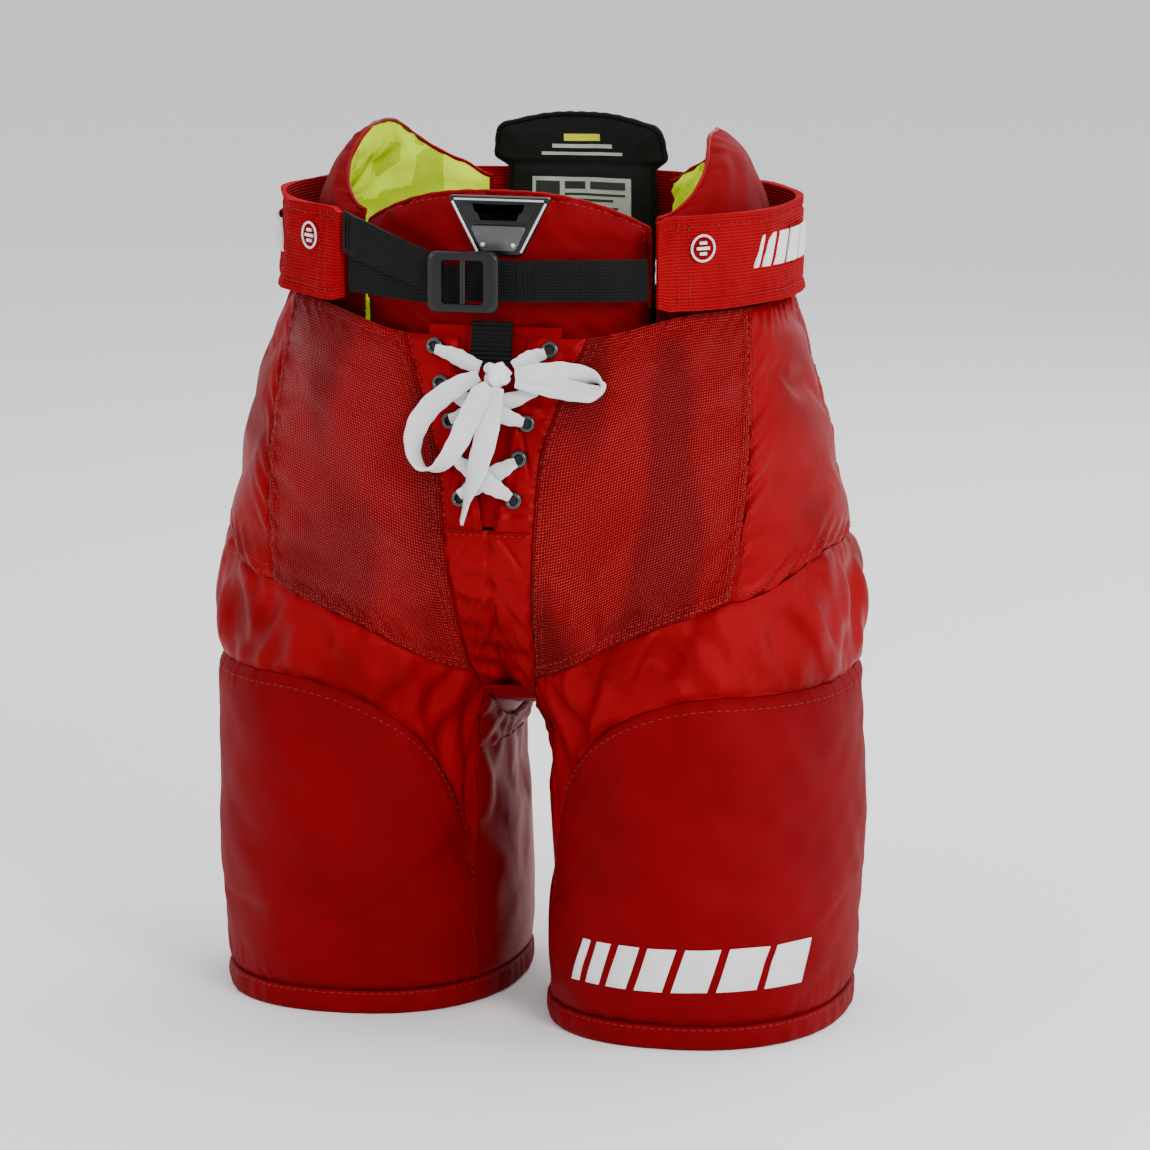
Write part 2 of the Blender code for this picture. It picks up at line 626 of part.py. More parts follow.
def spine_pad():
    """The back pad; its wide head rises above the narrower neck between the kidney pads."""
    up = steps(9)[None, :]
    across = 2 * steps(6)[:, None] - 1
    z = mix(KIDNEY_BOTTOM, SPINE_TOP - 0.0055 * np.abs(across) ** 3, up)
    half_width = mix(SPINE_NECK_HALF, SPINE_HEAD_HALF, smooth(0.405, 0.412, z))
    half_width = half_width - 0.010 * smooth(0.424, 0.434, z)
    angles = 180.0 - np.degrees(np.arcsin(half_width * across / SPINE_ARC_RADIUS))
    girdle_patch("spine_pad", "black_knit", angles, z, 0.0, SPINE_THICKNESS)


def belly_pad():
    across = 2 * steps(10)[:, None] - 1
    top = BELLY_SIDE_TOP + BELLY_CROWN * (1 - np.abs(across) ** 2.6)
    heights = mix(BELLY_BOTTOM, top, steps(6)[None, :])
    girdle_patch("belly_pad", "red_nylon", BELLY_ANGLE * across, heights, 0.0, GIRDLE_PAD_THICKNESS)


def belt_wing(side):
    angles = mix(WING_FRONT_ANGLE, WING_BACK_ANGLE, steps(14))[:, None]
    heights = mix(WING_BOTTOM, WING_TOP, steps(3))[None, :] + 0.0 * angles
    slab(side_name(side) + "_belt_wing", "red_ribbed_elastic", belt_form(side * angles, heights),
         belt_form(side * angles, heights, WING_THICKNESS))


def strap_line(x):
    """Distance of the belt's centre line from the middle of the pants, across the front."""
    return -0.0790 - 0.0165 * (1 - (x / 0.080) ** 2)


def belt_strap(name, x_start, x_end, z_start, z_end, layer, columns):
    share = steps(columns)[:, None]
    x = mix(x_start, x_end, share)
    z = mix(z_start, z_end, share) + STRAP_WIDTH / 2 * (2 * steps(1)[None, :] - 1)
    y = strap_line(x) - layer
    front = np.stack(np.broadcast_arrays(x, y, z), axis=-1)
    back = front + np.array([0.0, STRAP_THICKNESS, 0.0])
    slab(name, "black_webbing", front, back)


def straps():
    """The two halves of the belt that meet in the buckle, and the free end behind its frame."""
    belt_strap("left_belt_strap", -0.0115, 0.0745, 0.3730, 0.3740, 0.0, 8)
    belt_strap("right_belt_strap", -0.0125, -0.0745, 0.3695, 0.3735, 0.0, 6)
    belt_strap("belt_strap_tail", -0.0310, -0.0772, 0.3765, 0.3930, 0.0024, 5)


def buckle_frame():
    """A ladder-lock: a rounded frame with two slots either side of its bar."""
    frame = box_object("buckle_frame", "black_plastic", BUCKLE_CENTRE, BUCKLE_SIZE, BUCKLE_CORNER)
    for number, side in enumerate((-1, 1)):
        centre = Vector(BUCKLE_CENTRE) + Vector((side * BUCKLE_SLOT_OFFSET, 0.0, 0.0))
        cutter = box_object(f"slot_cutter_{number}", "black_plastic", centre, BUCKLE_SLOT, 0.001)
        cutter.hide_render = True
        cutter.display_type = "WIRE"
        cut = frame.modifiers.new(f"slot_{number}", "BOOLEAN")
        cut.object = cutter
        cut.operation = "DIFFERENCE"
        cut.solver = "EXACT"


def badge_layer(name, slot, half_widths, heights, front, depth):
    """One trapezoid plate of the badge; half_widths and heights run from its bottom to its top."""
    (narrow, wide), (low, high) = half_widths, heights
    corners = ((-narrow, low), (narrow, low), (wide, high), (-wide, high))
    bm = bmesh.new()
    face = bm.faces.new([bm.verts.new((BADGE_X + x, front, z)) for x, z in corners])
    grown = bmesh.ops.extrude_face_region(bm, geom=[face])
    moved = [item for item in grown["geom"] if isinstance(item, bmesh.types.BMVert)]
    bmesh.ops.translate(bm, vec=(0.0, depth, 0.0), verts=moved)
    round_upright_edges(bm, depth, 0.002, 2)
    add_object(name, bm, slot)


def badge():
    """A plate on the belly pad with a raised insert and two rivets."""
    badge_layer("badge_plate", "black_plastic", (0.0112, 0.0255), (0.3850, 0.4135), -0.0925, 0.0035)
    badge_layer("badge_insert", "silver_paint", (0.0085, 0.0140), (0.3875, 0.3995), -0.0943, 0.0015)
    across, front, height = RIVET_PLACE
    for side in (1, -1):
        bm = bmesh.new()
        bmesh.ops.create_uvsphere(bm, u_segments=10, v_segments=6, radius=RIVET_RADIUS)
        rivet = add_object("badge_rivet_" + side_name(side), bm, "silver_paint")
        rivet.location = (BADGE_X + side * across, front, height)


def size_label():
    """A sewn label on the inner face of the spine pad."""
    across = 2 * steps(2)[:, None] - 1
    z = mix(*LABEL_HEIGHTS, steps(2))[None, :] + 0.0 * across
    angles = 180.0 - np.degrees(np.arcsin(LABEL_HALF_WIDTH * across / SPINE_ARC_RADIUS)) + 0.0 * z
    girdle_patch("size_label", "label_cloth", angles, z, LABEL_INSET, LABEL_THICKNESS)


def pivots():
    """An empty on the axis of each joint, with the pieces that move with it."""
    leg_parts = ("thigh_pad", "thigh_guard", "inner_thigh_panel", "hem_binding")
    girdle_pairs = ("kidney_pad", "belt_wing", "belt_strap")
    girdle_parts = ["belly_pad", "spine_pad", "size_label", "belt_strap_tail", "badge_plate", "badge_insert"]
    for side in (1, -1):
        name = side_name(side)
        hang_on_pivot(name + "_leg_pivot", (side * LEG_SPREAD, 0.0, LEG_PIVOT_Z),
                      [f"{name}_{part}" for part in leg_parts])
        girdle_parts += [f"{name}_{part}" for part in girdle_pairs] + ["badge_rivet_" + name]
    hang_on_pivot("girdle_slide", (0.0, 0.0, GIRDLE_SLIDE_Z), girdle_parts)
    hang_on_pivot("buckle_pivot", (BUCKLE_PIVOT_X, *BUCKLE_CENTRE[1:]), ["buckle_frame"])


def main():
    clear_scene()
    for side in (1, -1):
        thigh_pad(side)
        thigh_guard(side)
        inner_thigh_panel(side)
        hem_binding(side)
        flex_gusset(side)
        side_panel(side)
        mesh_panel(side)
        seat_panel(side)
        fly_facing(side)
        eyelets(side)
        hip_guard(side)
        kidney_pad(side)
        belt_wing(side)
    front_panel("fly_tongue", lambda z: along(PLACKET, z) * TONGUE_SHARE, FLY_BOTTOM + 0.002, TONGUE_TOP,
                TONGUE_INSET, TONGUE_THICKNESS)
    front_panel("front_gusset", lambda z: along(PLACKET, z) - GAP, CROTCH_FRONT + GAP, FLY_BOTTOM,
                0.0, FABRIC)
    crotch_gusset()
    lace_keeper()
    lace_knot()
    for name, places in LACE_ROUTES.items():
        lace_tube(name, places)
    tailbone_guard()
    spine_pad()
    belly_pad()
    straps()
    buckle_frame()
    badge()
    size_label()
    pivots()


main()
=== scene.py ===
"""Looks of the youth hockey pants: cloth, padding, lace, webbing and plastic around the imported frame.

Metres, +Z up, -Y is the wearer's front, +X is the wearer's left.
Cloth panels are grids on the same body form as the CAD solids that they replace.
"""
import math

import bmesh
import bpy
import numpy as np
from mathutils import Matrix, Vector


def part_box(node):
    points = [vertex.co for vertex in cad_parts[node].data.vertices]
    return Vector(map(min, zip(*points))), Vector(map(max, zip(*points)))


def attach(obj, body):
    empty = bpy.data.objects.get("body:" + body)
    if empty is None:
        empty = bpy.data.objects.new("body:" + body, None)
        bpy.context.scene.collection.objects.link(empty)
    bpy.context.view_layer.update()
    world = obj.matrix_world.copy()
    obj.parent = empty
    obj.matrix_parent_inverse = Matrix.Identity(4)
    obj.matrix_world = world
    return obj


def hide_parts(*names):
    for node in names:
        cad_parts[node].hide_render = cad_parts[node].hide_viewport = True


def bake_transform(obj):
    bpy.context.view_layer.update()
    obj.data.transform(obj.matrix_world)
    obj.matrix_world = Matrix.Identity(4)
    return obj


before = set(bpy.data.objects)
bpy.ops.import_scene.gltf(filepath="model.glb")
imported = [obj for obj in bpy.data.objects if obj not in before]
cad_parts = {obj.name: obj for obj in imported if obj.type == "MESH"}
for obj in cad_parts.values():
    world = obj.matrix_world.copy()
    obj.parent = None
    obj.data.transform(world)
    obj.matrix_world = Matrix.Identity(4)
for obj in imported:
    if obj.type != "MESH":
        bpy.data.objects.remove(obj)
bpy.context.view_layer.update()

# The body form, as in the part's source
LEG_SPREAD, LEG_HALF_WIDTH, LEG_HALF_DEPTH = 0.0868, 0.0735, 0.091
ROUNDNESS = 2.3
CENTRE_GAP = 0.0002
LEG_TOP, HIP_START = 0.13, 0.25
HEM_LEAN = {1: -0.0135, -1: 0.0145}
HIP_HALF_WIDTH = ((0.10, 0.160), (0.18, 0.160), (0.23, 0.1565), (0.28, 0.1460), (0.336, 0.1300),
                  (0.357, 0.1235))
HIP_HALF_DEPTH = ((0.10, 0.094), (0.18, 0.098), (0.25, 0.1035), (0.30, 0.1040), (0.336, 0.1003),
                  (0.357, 0.0965))
HIP_CENTRE_Y = ((0.22, 0.0), (0.25, 0.0005), (0.30, 0.0040), (0.336, 0.0065), (0.357, 0.0070))
GIRDLE_CENTRE_Y, WING_CENTRE_Y = 0.007, 0.001
GIRDLE_HALF_WIDTH = ((0.30, 0.1195), (0.35, 0.1165), (0.40, 0.1110), (0.42, 0.1020), (0.436, 0.0900))
GIRDLE_HALF_DEPTH = ((0.30, 0.0880), (0.35, 0.0905), (0.40, 0.0925), (0.42, 0.0900), (0.436, 0.0840))
WING_HALF_WIDTH, WING_HALF_DEPTH = 0.1300, 0.1030

# Seams
HEM_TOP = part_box("left_hem_binding")[1][2]
PAD_TOP, PAD_CORNER_BASE, PAD_CORNER_POWER = 0.172, 0.040, 2.2
PAD_CORNER_START, PAD_INNER_EDGE, PAD_BACK_EDGE = 70.0, 141.0, -60.0
MESH_OUTER_TURN = ((0.215, 70.0), (0.28, 62.0), (0.35, 55.0))
MESH_BOTTOM = ((70.0, 0.218), (102.0, 0.200), (125.0, 0.180), (140.0, 0.172))
PLACKET = ((0.155, 0.0100), (0.18, 0.0165), (0.21, 0.0190), (0.25, 0.0225), (0.29, 0.0260), (0.31, 0.0320),
           (0.346, 0.0460))
FLY_OPENING = ((0.255, 0.0030), (0.29, 0.0085), (0.32, 0.0135), (0.346, 0.0180))
FLY_BOTTOM = 0.252
YOKE_TOP_CENTRE, YOKE_TOP_SIDE = 0.3455, 0.3560
SIDE_SEAM, SEAT_SEAM, SEAT_CENTRE = 0.237, 0.222, 0.186
SIDE_BACK_TURN = -30.0
EYELET_ROWS = ((0.3400, 0.0285), (0.3225, 0.0245), (0.3050, 0.0190), (0.2880, 0.0155), (0.2680, 0.0133))

# Camera
VIEW_AZIMUTH, VIEW_ELEVATION, VIEW_DISTANCE = math.radians(14.0), math.radians(11.0), 3.0
VIEW_WIDTH = 0.575
VIEW_TARGET = (0.0, 0.0, 0.2114)
VIEW_SHIFT_RIGHT = 0.0175


def placed(name, data):
    """A new object, linked into the scene."""
    thing = bpy.data.objects.new(name, data)
    bpy.context.scene.collection.objects.link(thing)
    return thing


def camera():
    away = Vector((math.sin(VIEW_AZIMUTH) * math.cos(VIEW_ELEVATION),
                   -math.cos(VIEW_AZIMUTH) * math.cos(VIEW_ELEVATION), math.sin(VIEW_ELEVATION)))
    right = Vector((math.cos(VIEW_AZIMUTH), math.sin(VIEW_AZIMUTH), 0.0))
    data = bpy.data.cameras.new("camera")
    data.sensor_width = 36.0
    data.lens = data.sensor_width * VIEW_DISTANCE / VIEW_WIDTH
    data.clip_start = 0.1
    thing = bpy.data.objects.new("camera", data)
    thing.location = Vector(VIEW_TARGET) + right * VIEW_SHIFT_RIGHT + away * VIEW_DISTANCE
    thing.rotation_euler = away.to_track_quat("Z", "Y").to_euler()
    bpy.context.scene.collection.objects.link(thing)
    bpy.context.scene.camera = thing


camera()


# ---------------------------------------------------------------- curves and the body form

def along(knots, at):
    """A smooth curve through (position, value) knots, level beyond both ends."""
    xs = np.array([knot[0] for knot in knots])
    ys = np.array([knot[1] for knot in knots])
    slopes = np.gradient(ys, xs)
    at = np.clip(np.asarray(at, dtype=float), xs[0], xs[-1])
    i = np.clip(np.searchsorted(xs, at) - 1, 0, len(xs) - 2)
    span = xs[i + 1] - xs[i]
    t = (at - xs[i]) / span
    rise = (1 + 2 * t) * (1 - t) ** 2 * ys[i] + t * t * (3 - 2 * t) * ys[i + 1]
    return rise + span * (t * (1 - t) ** 2 * slopes[i] - t * t * (1 - t) * slopes[i + 1])


def smooth(low, high, value):
    t = np.clip((value - low) / (high - low), 0.0, 1.0)
    return t * t * (3 - 2 * t)


def mix(a, b, share):
    return a * (1 - share) + b * share


def steps(count):
    return np.linspace(0.0, 1.0, count + 1)


def superellipse_value(x, y, half_width, half_depth):
    return np.abs(x / half_width) ** ROUNDNESS + np.abs(y / half_depth) ** ROUNDNESS


def form(side, turn, z, inset=0.0):
    """A point on one half of the pants: turn 0 faces outward, 90 the front, 180 the other leg."""
    turn, z = np.broadcast_arrays(np.asarray(turn, float), np.asarray(z, float))
    out, front = np.cos(np.radians(turn)), np.sin(np.radians(turn))
    leg_reach = superellipse_value(out, front, LEG_HALF_WIDTH - inset, LEG_HALF_DEPTH - inset)
    leg_reach = leg_reach ** (-1 / ROUNDNESS)
    centre_y = HEM_LEAN[side] * np.clip(1 - z / HIP_START, 0.0, 1.0)
    hip_width = along(HIP_HALF_WIDTH, z) - inset
    hip_depth = along(HIP_HALF_DEPTH, z) - inset
    hip_centre = along(HIP_CENTRE_Y, z)
    low, high = np.zeros_like(z), np.full_like(z, 0.4)
    for _ in range(30):
        middle = (low + high) / 2
        x = LEG_SPREAD + middle * out
        y = centre_y - middle * front
        inside = superellipse_value(x, y - hip_centre, hip_width, hip_depth) < 1
        low = np.where(inside, middle, low)
        high = np.where(inside, high, middle)
    blend = smooth(LEG_TOP, HIP_START, z)
    reach = leg_reach * (1 - blend) + low * blend
    to_centre = (LEG_SPREAD - CENTRE_GAP - inset * 0.5) / np.maximum(-out, 1e-6)
    reach = np.where(out < 0, np.minimum(reach, to_centre), reach)
    return np.stack([side * (LEG_SPREAD + reach * out), centre_y - reach * front, z], axis=-1)


def turn_at(side, x, z, front=True):
    """The turn at which the form's front (or back) passes through distance x from the centre."""
    x, z = np.broadcast_arrays(np.asarray(x, float), np.asarray(z, float))
    low, high = np.full_like(z, 30.0), np.full_like(z, 175.0)
    sign = 1 if front else -1
    for _ in range(24):
        middle = (low + high) / 2
        outside = side * form(side, sign * middle, z)[..., 0] > x
        low = np.where(outside, middle, low)
        high = np.where(outside, high, middle)
    return sign * low


def oval(angle, z, width, depth, centre_y):
    angle, z = np.broadcast_arrays(np.asarray(angle, float), np.asarray(z, float))
    across, ahead = np.sin(np.radians(angle)), np.cos(np.radians(angle))
    reach = ((across / width) ** 2 + (ahead / depth) ** 2) ** -0.5
    return np.stack([reach * across, centre_y - reach * ahead, z], axis=-1)


def girdle_form(angle, z, inset=0.0):
    width, depth = along(GIRDLE_HALF_WIDTH, z) - inset, along(GIRDLE_HALF_DEPTH, z) - inset
    return oval(angle, z, width, depth, GIRDLE_CENTRE_Y)


def belt_form(angle, z):
    return oval(angle, z, WING_HALF_WIDTH, WING_HALF_DEPTH, WING_CENTRE_Y)


def across_front(x, z, inset=0.0):
    """Points on the front of the form at signed distances x from the centre."""
    points = form(1, turn_at(1, np.maximum(np.abs(x), 0.0009), z), z, inset)
    back_leg = form(-1, turn_at(-1, np.maximum(np.abs(x), 0.0009), z), z, inset)
    share = smooth(-0.012, 0.012, np.asarray(x) + 0.0 * points[..., 0])[..., None]
    points = mix(back_leg, points, share)
    points[..., 0] = x
    points[..., 2] = z
    return points


def side_name(side):
    return "left" if side > 0 else "right"


# ---------------------------------------------------------------- cloth relief

def waves(seed, x, y, wavelength, count=6):
    """Smooth noise of about unit size: a sum of sine waves in seeded directions."""
    rng = np.random.RandomState(seed)
    total = 0.0 * (x + y)
    for _ in range(count):
        heading = rng.uniform(0, 2 * math.pi)
        rate = 2 * math.pi / (wavelength * rng.uniform(0.6, 1.7))
        total = total + np.sin(rate * (x * math.cos(heading) + y * math.sin(heading)) + rng.uniform(0, 6.28))
    return total / math.sqrt(count / 2)


def creases(seed, x, y, wavelength):
    """Soft rounded swells between narrow valleys, as slack cloth has."""
    field = waves(seed, x, y, wavelength)
    return 1.0 - 2.0 * np.exp(-(field / 0.45) ** 2)


def drapes(seed, x, y, wavelength):
    """Soft folds of slack cloth: rounded ridges, a little narrower in the valleys."""
    field = waves(seed, x, y, wavelength, 5)
    return np.tanh(1.1 * field) + 0.25 * field


def folds(seed, along_seam, up, wavelength, wander=0.35):
    """Gathers that run up the cloth: rounded ridges with narrow valleys."""
    drift = waves(seed, along_seam, up, wavelength * 2.6) * wander
    phase = 2 * math.pi * (along_seam / wavelength + drift)
    ridge = np.abs(np.sin(phase / 2)) ** 0.75
    second = np.abs(np.sin(phase * 0.31 + 1.0 + 2.0 * drift)) ** 0.8
    return 0.62 * ridge + 0.38 * second - 0.55


def normals(points, looped=False):
    if looped:
        across = (np.roll(points, -1, axis=0) - np.roll(points, 1, axis=0)) / 2
    else:
        across = np.gradient(points, axis=0)
    up = np.gradient(points, axis=1)
    normal = np.cross(across, up)
    length = np.linalg.norm(normal, axis=-1, keepdims=True)
    return normal / np.maximum(length, 1e-12)


def outward(points, centre, looped=False):
    """Unit normals that point away from the centre line."""
    normal = normals(points, looped)
    away = points - centre
    away[..., 2] = 0.0
    return normal if (normal * away).sum() > 0 else -normal


def lengths(points):
    """Distance along the cloth in both directions of a grid, in metres."""
    middle_column = points[:, points.shape[1] // 2]
    middle_row = points[points.shape[0] // 2]
    across = np.concatenate([[0.0], np.cumsum(np.linalg.norm(np.diff(middle_column, axis=0), axis=1))])
    up = np.concatenate([[0.0], np.cumsum(np.linalg.norm(np.diff(middle_row, axis=0), axis=1))])
    return np.broadcast_arrays(across[:, None], up[None, :])


def border(points, sides="lrbt"):
    """Distance in metres from the named borders: left, right, bottom and top of the grid."""
    across, up = lengths(points)
    distance = np.full(points.shape[:2], 1.0)
    if "l" in sides:
        distance = np.minimum(distance, across)
    if "r" in sides:
        distance = np.minimum(distance, across[-1, -1] - across)
    if "b" in sides:
        distance = np.minimum(distance, up)
    if "t" in sides:
        distance = np.minimum(distance, up[-1, -1] - up)
    return distance


def seam_dip(distance, depth=0.0009, width=0.0022):
    return -depth * np.exp(-(distance / width) ** 2)


def pucker(seed, along_seam, distance, size=0.0004, wavelength=0.007, reach=0.009):
    """Short gathers that stand across a seam and fade away from it."""
    return size * np.exp(-(distance / reach) ** 2) * waves(seed, along_seam, distance * 0.15, wavelength)


# ---------------------------------------------------------------- cloth simulation

SIM_FRAMES = 16
SOFTENING_PASSES = 2


def pinned_rim(columns, rows, looped):
    """Weights that hold the seams of a grid still: 1 on its borders, 0 inside."""
    weight = np.zeros((columns, rows))
    weight[:, 0] = weight[:, -1] = 1.0
    if not looped:
        weight[0] = weight[-1] = 1.0
    return weight.ravel()


def thinned(count, step, looped):
    """Every step-th index of a grid direction, with the last one kept unless it closes a ring."""
    picks = list(range(0, count, step))
    if not looped and picks[-1] != count - 1:
        picks.append(count - 1)
    return np.array(picks)


def spread_back(moved, columns, rows, picks_across, picks_up, looped):
    """Values on a thinned grid, spread smoothly back over the full grid."""
    across, full = picks_across, np.arange(columns)
    if looped:
        across, moved = np.append(across, columns), np.concatenate([moved, moved[:1]])
    wide = np.stack([np.stack([np.interp(full, across, moved[:, j, k]) for j in range(len(picks_up))], axis=1)
                     for k in range(3)], axis=-1)
    every_row = np.arange(rows)
    return np.stack([np.stack([np.interp(every_row, picks_up, wide[i, :, k]) for i in range(columns)], axis=0)
                     for k in range(3)], axis=-1)


def softened(field, looped):
    """A light blur of a grid of vectors."""
    for _ in range(SOFTENING_PASSES):
        pad = np.pad(field, ((1, 1), (0, 0), (0, 0)), mode="wrap" if looped else "edge")
        field = 0.25 * pad[:-2] + 0.5 * pad[1:-1] + 0.25 * pad[2:]
        pad = np.pad(field, ((0, 0), (1, 1), (0, 0)), mode="edge")
        field = 0.25 * pad[:, :-2] + 0.5 * pad[:, 1:-1] + 0.25 * pad[:, 2:]
    return field


def blown(start, out, pressure, slack, cap, looped=False, step=2, stiffness=6.0):
    """How far cloth moves that is sewn along its borders, a little too large, and pushed from inside.

    The simulation's answer is held within cap of the start."""
    columns, rows = start.shape[:2]
    picks_across, picks_up = thinned(columns, step, looped), thinned(rows, step, False)
    coarse = start[np.ix_(picks_across, picks_up)]
    wide, tall = coarse.shape[:2]
    normal = normals(coarse, looped)
    flip = (normal * out[np.ix_(picks_across, picks_up)]).sum() < 0
    mesh = bpy.data.meshes.new("simulated")
    mesh.from_pydata([tuple(v) for v in coarse.reshape(-1, 3)], [],
                     [tuple(int(k) for k in f) for f in grid_faces(wide, tall, looped, 0, flip)])
    sheet = placed("simulated", mesh)
    group = sheet.vertex_groups.new(name="seams")
    for number, weight in enumerate(pinned_rim(wide, tall, looped)):
        group.add([number], float(weight), "REPLACE")
    settings = sheet.modifiers.new("cloth", "CLOTH").settings
    settings.quality = 6
    settings.mass = 0.15
    settings.tension_stiffness = settings.compression_stiffness = settings.shear_stiffness = stiffness
    settings.bending_stiffness = 0.15
    settings.air_damping = 2.0
    settings.use_pressure = True
    settings.uniform_pressure_force = pressure
    settings.shrink_min = settings.shrink_max = -slack
    settings.vertex_group_mass = "seams"
    settings.effector_weights.gravity = 0.0
    scene = bpy.context.scene
    for frame_number in range(1, SIM_FRAMES + 1):
        scene.frame_set(frame_number)
        graph = bpy.context.evaluated_depsgraph_get()
        sheet.evaluated_get(graph)
    solved = sheet.evaluated_get(bpy.context.evaluated_depsgraph_get()).data
    found = np.empty(len(solved.vertices) * 3)
    solved.vertices.foreach_get("co", found)
    moved = found.reshape(coarse.shape) - coarse
    scene.frame_set(1)
    bpy.data.objects.remove(sheet)
    bpy.data.meshes.remove(mesh)
    size = np.linalg.norm(moved, axis=-1, keepdims=True)
    moved = moved * np.minimum(1.0, cap / np.maximum(size, 1e-9))
    full = spread_back(moved, columns, rows, picks_across, picks_up, looped)
    return softened(full, looped)


def sampled(grid, column, row):
    """Values of a grid at fractional columns and rows."""
    column, row = np.broadcast_arrays(np.clip(column, 0, grid.shape[0] - 1.001),
                                      np.clip(row, 0, grid.shape[1] - 1.001))
    i, j = column.astype(int), row.astype(int)
    a, b = (column - i)[..., None], (row - j)[..., None]
    return mix(mix(grid[i, j], grid[i + 1, j], a), mix(grid[i, j + 1], grid[i + 1, j + 1], a), b)


# ---------------------------------------------------------------- meshes

def add_mesh(name, verts, faces, material, uv=None):
    mesh = bpy.data.meshes.new(name)
    mesh.from_pydata([tuple(v) for v in verts], [], [tuple(f) for f in faces])
    if uv is not None:
        layer = mesh.uv_layers.new(name="cloth")
        loops = np.empty(len(mesh.loops), dtype=np.int32)
        mesh.loops.foreach_get("vertex_index", loops)
        layer.data.foreach_set("uv", np.asarray(uv, dtype=np.float32)[loops].ravel())
    mesh.materials.append(material)
    mesh.shade_smooth()
    mesh.set_sharp_from_angle(angle=math.radians(55))
    mesh.validate()
    thing = placed(name, mesh)
    return thing


def grid_faces(columns, rows, looped, start=0, flip=False):
    i = np.arange(columns if looped else columns - 1)
    j = np.arange(rows - 1)
    a = (i[:, None] * rows + j[None, :]).ravel()
    b = (((i + 1) % columns)[:, None] * rows + j[None, :]).ravel()
    quads = np.stack([a, b, b + 1, a + 1], axis=1) + start
    return quads[:, ::-1] if flip else quads


def slab(name, outer, inner, material, looped=False):
    """A closed skin of cloth between two grids of points, with its lengths as UVs."""
    columns, rows = outer.shape[:2]
    count = columns * rows
    normal = normals(outer, looped)
    flip = (normal * (outer - inner)).sum() < 0
    faces = [grid_faces(columns, rows, looped, 0, flip), grid_faces(columns, rows, looped, count, not flip)]
    index = np.arange(count).reshape(columns, rows)
    rims = []
    order = list(range(columns)) + ([0] if looped else [])
    for j, turned in ((0, False), (rows - 1, True)):
        rims.append((index[order, j], turned))
    if not looped:
        rims.append((index[0, :], True))
        rims.append((index[columns - 1, :], False))
    for rim, turned in rims:
        a, b = rim[:-1], rim[1:]
        quad = np.stack([b, a, a + count, b + count], axis=1)
        faces.append(quad[:, ::-1] if turned != flip else quad)
    across, up = lengths(outer)
    uv = np.stack([across, up], axis=-1).reshape(-1, 2)
    verts = np.concatenate([outer.reshape(-1, 3), inner.reshape(-1, 3)])
    return add_mesh(name, verts, np.concatenate(faces), material, np.concatenate([uv, uv]))


def cloth(name, points, relief, thickness, material, body, node, centre=(0.0, 0.0, 0.0), looped=False,
          blow=None):
    """A cloth panel: the form's points raised by the relief, with a plain back; returns its surface.

    blow holds a simulation's pressure, slack and cap, for a panel that is simulated."""
    centre = np.array(centre)
    normal = outward(points, centre, looped)
    surface = points + normal * relief[..., None]
    if blow:
        surface = surface + blown(surface, normal, *blow, looped=looped)
    base = surface if blow else points
    piece = slab(name, surface, base - normal * thickness, material, looped)
    if body:
        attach(piece, body)
    if node:
        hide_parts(node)
    return piece, surface, normal


def stitches(name, path, lift, material, body, pitch=0.0034, length=0.0022, radius=0.00022):
    """A row of thread stitches along a path; lift holds the cloth's normals there."""
    path, lift = np.asarray(path), np.asarray(lift)
    run = np.concatenate([[0.0], np.cumsum(np.linalg.norm(np.diff(path, axis=0), axis=1))])
    places = np.arange(pitch / 2, run[-1], pitch)
    ring = np.array([(math.cos(a), math.sin(a)) for a in np.arange(5) * 2 * math.pi / 5])
    profile = ((-0.5, 0.25), (-0.36, 0.9), (0.0, 1.15), (0.36, 0.9), (0.5, 0.25))
    verts, faces = [], []
    for place in places:
        point = np.array([np.interp(place, run, path[:, k]) for k in range(3)])
        ahead = np.array([np.interp(place + 0.001, run, path[:, k]) for k in range(3)]) - point
        up = np.array([np.interp(place, run, lift[:, k]) for k in range(3)])
        ahead /= max(np.linalg.norm(ahead), 1e-9)
        beside = np.cross(up, ahead)
        start = len(verts)
        for position, swell in profile:
            for c, s in ring:
                offset = ahead * position * length + (beside * c * 1.3 + up * s) * radius * swell
                verts.append(point + offset + up * radius * (0.4 if abs(position) < 0.4 else -0.6))
        for level in range(len(profile) - 1):
            for k in range(5):
                a, b = start + level * 5 + k, start + level * 5 + (k + 1) % 5
                faces.append((a, b, b + 5, a + 5))
        faces.append(tuple(start + k for k in range(4, -1, -1)))
        faces.append(tuple(start + 20 + k for k in range(5)))
    if not faces:
        return None
    mesh = bpy.data.meshes.new(name)
    mesh.from_pydata([tuple(v) for v in verts], [], faces)
    mesh.materials.append(material)
    mesh.shade_smooth()
    piece = placed(name, mesh)
    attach(piece, body)
    return piece


# ---------------------------------------------------------------- materials

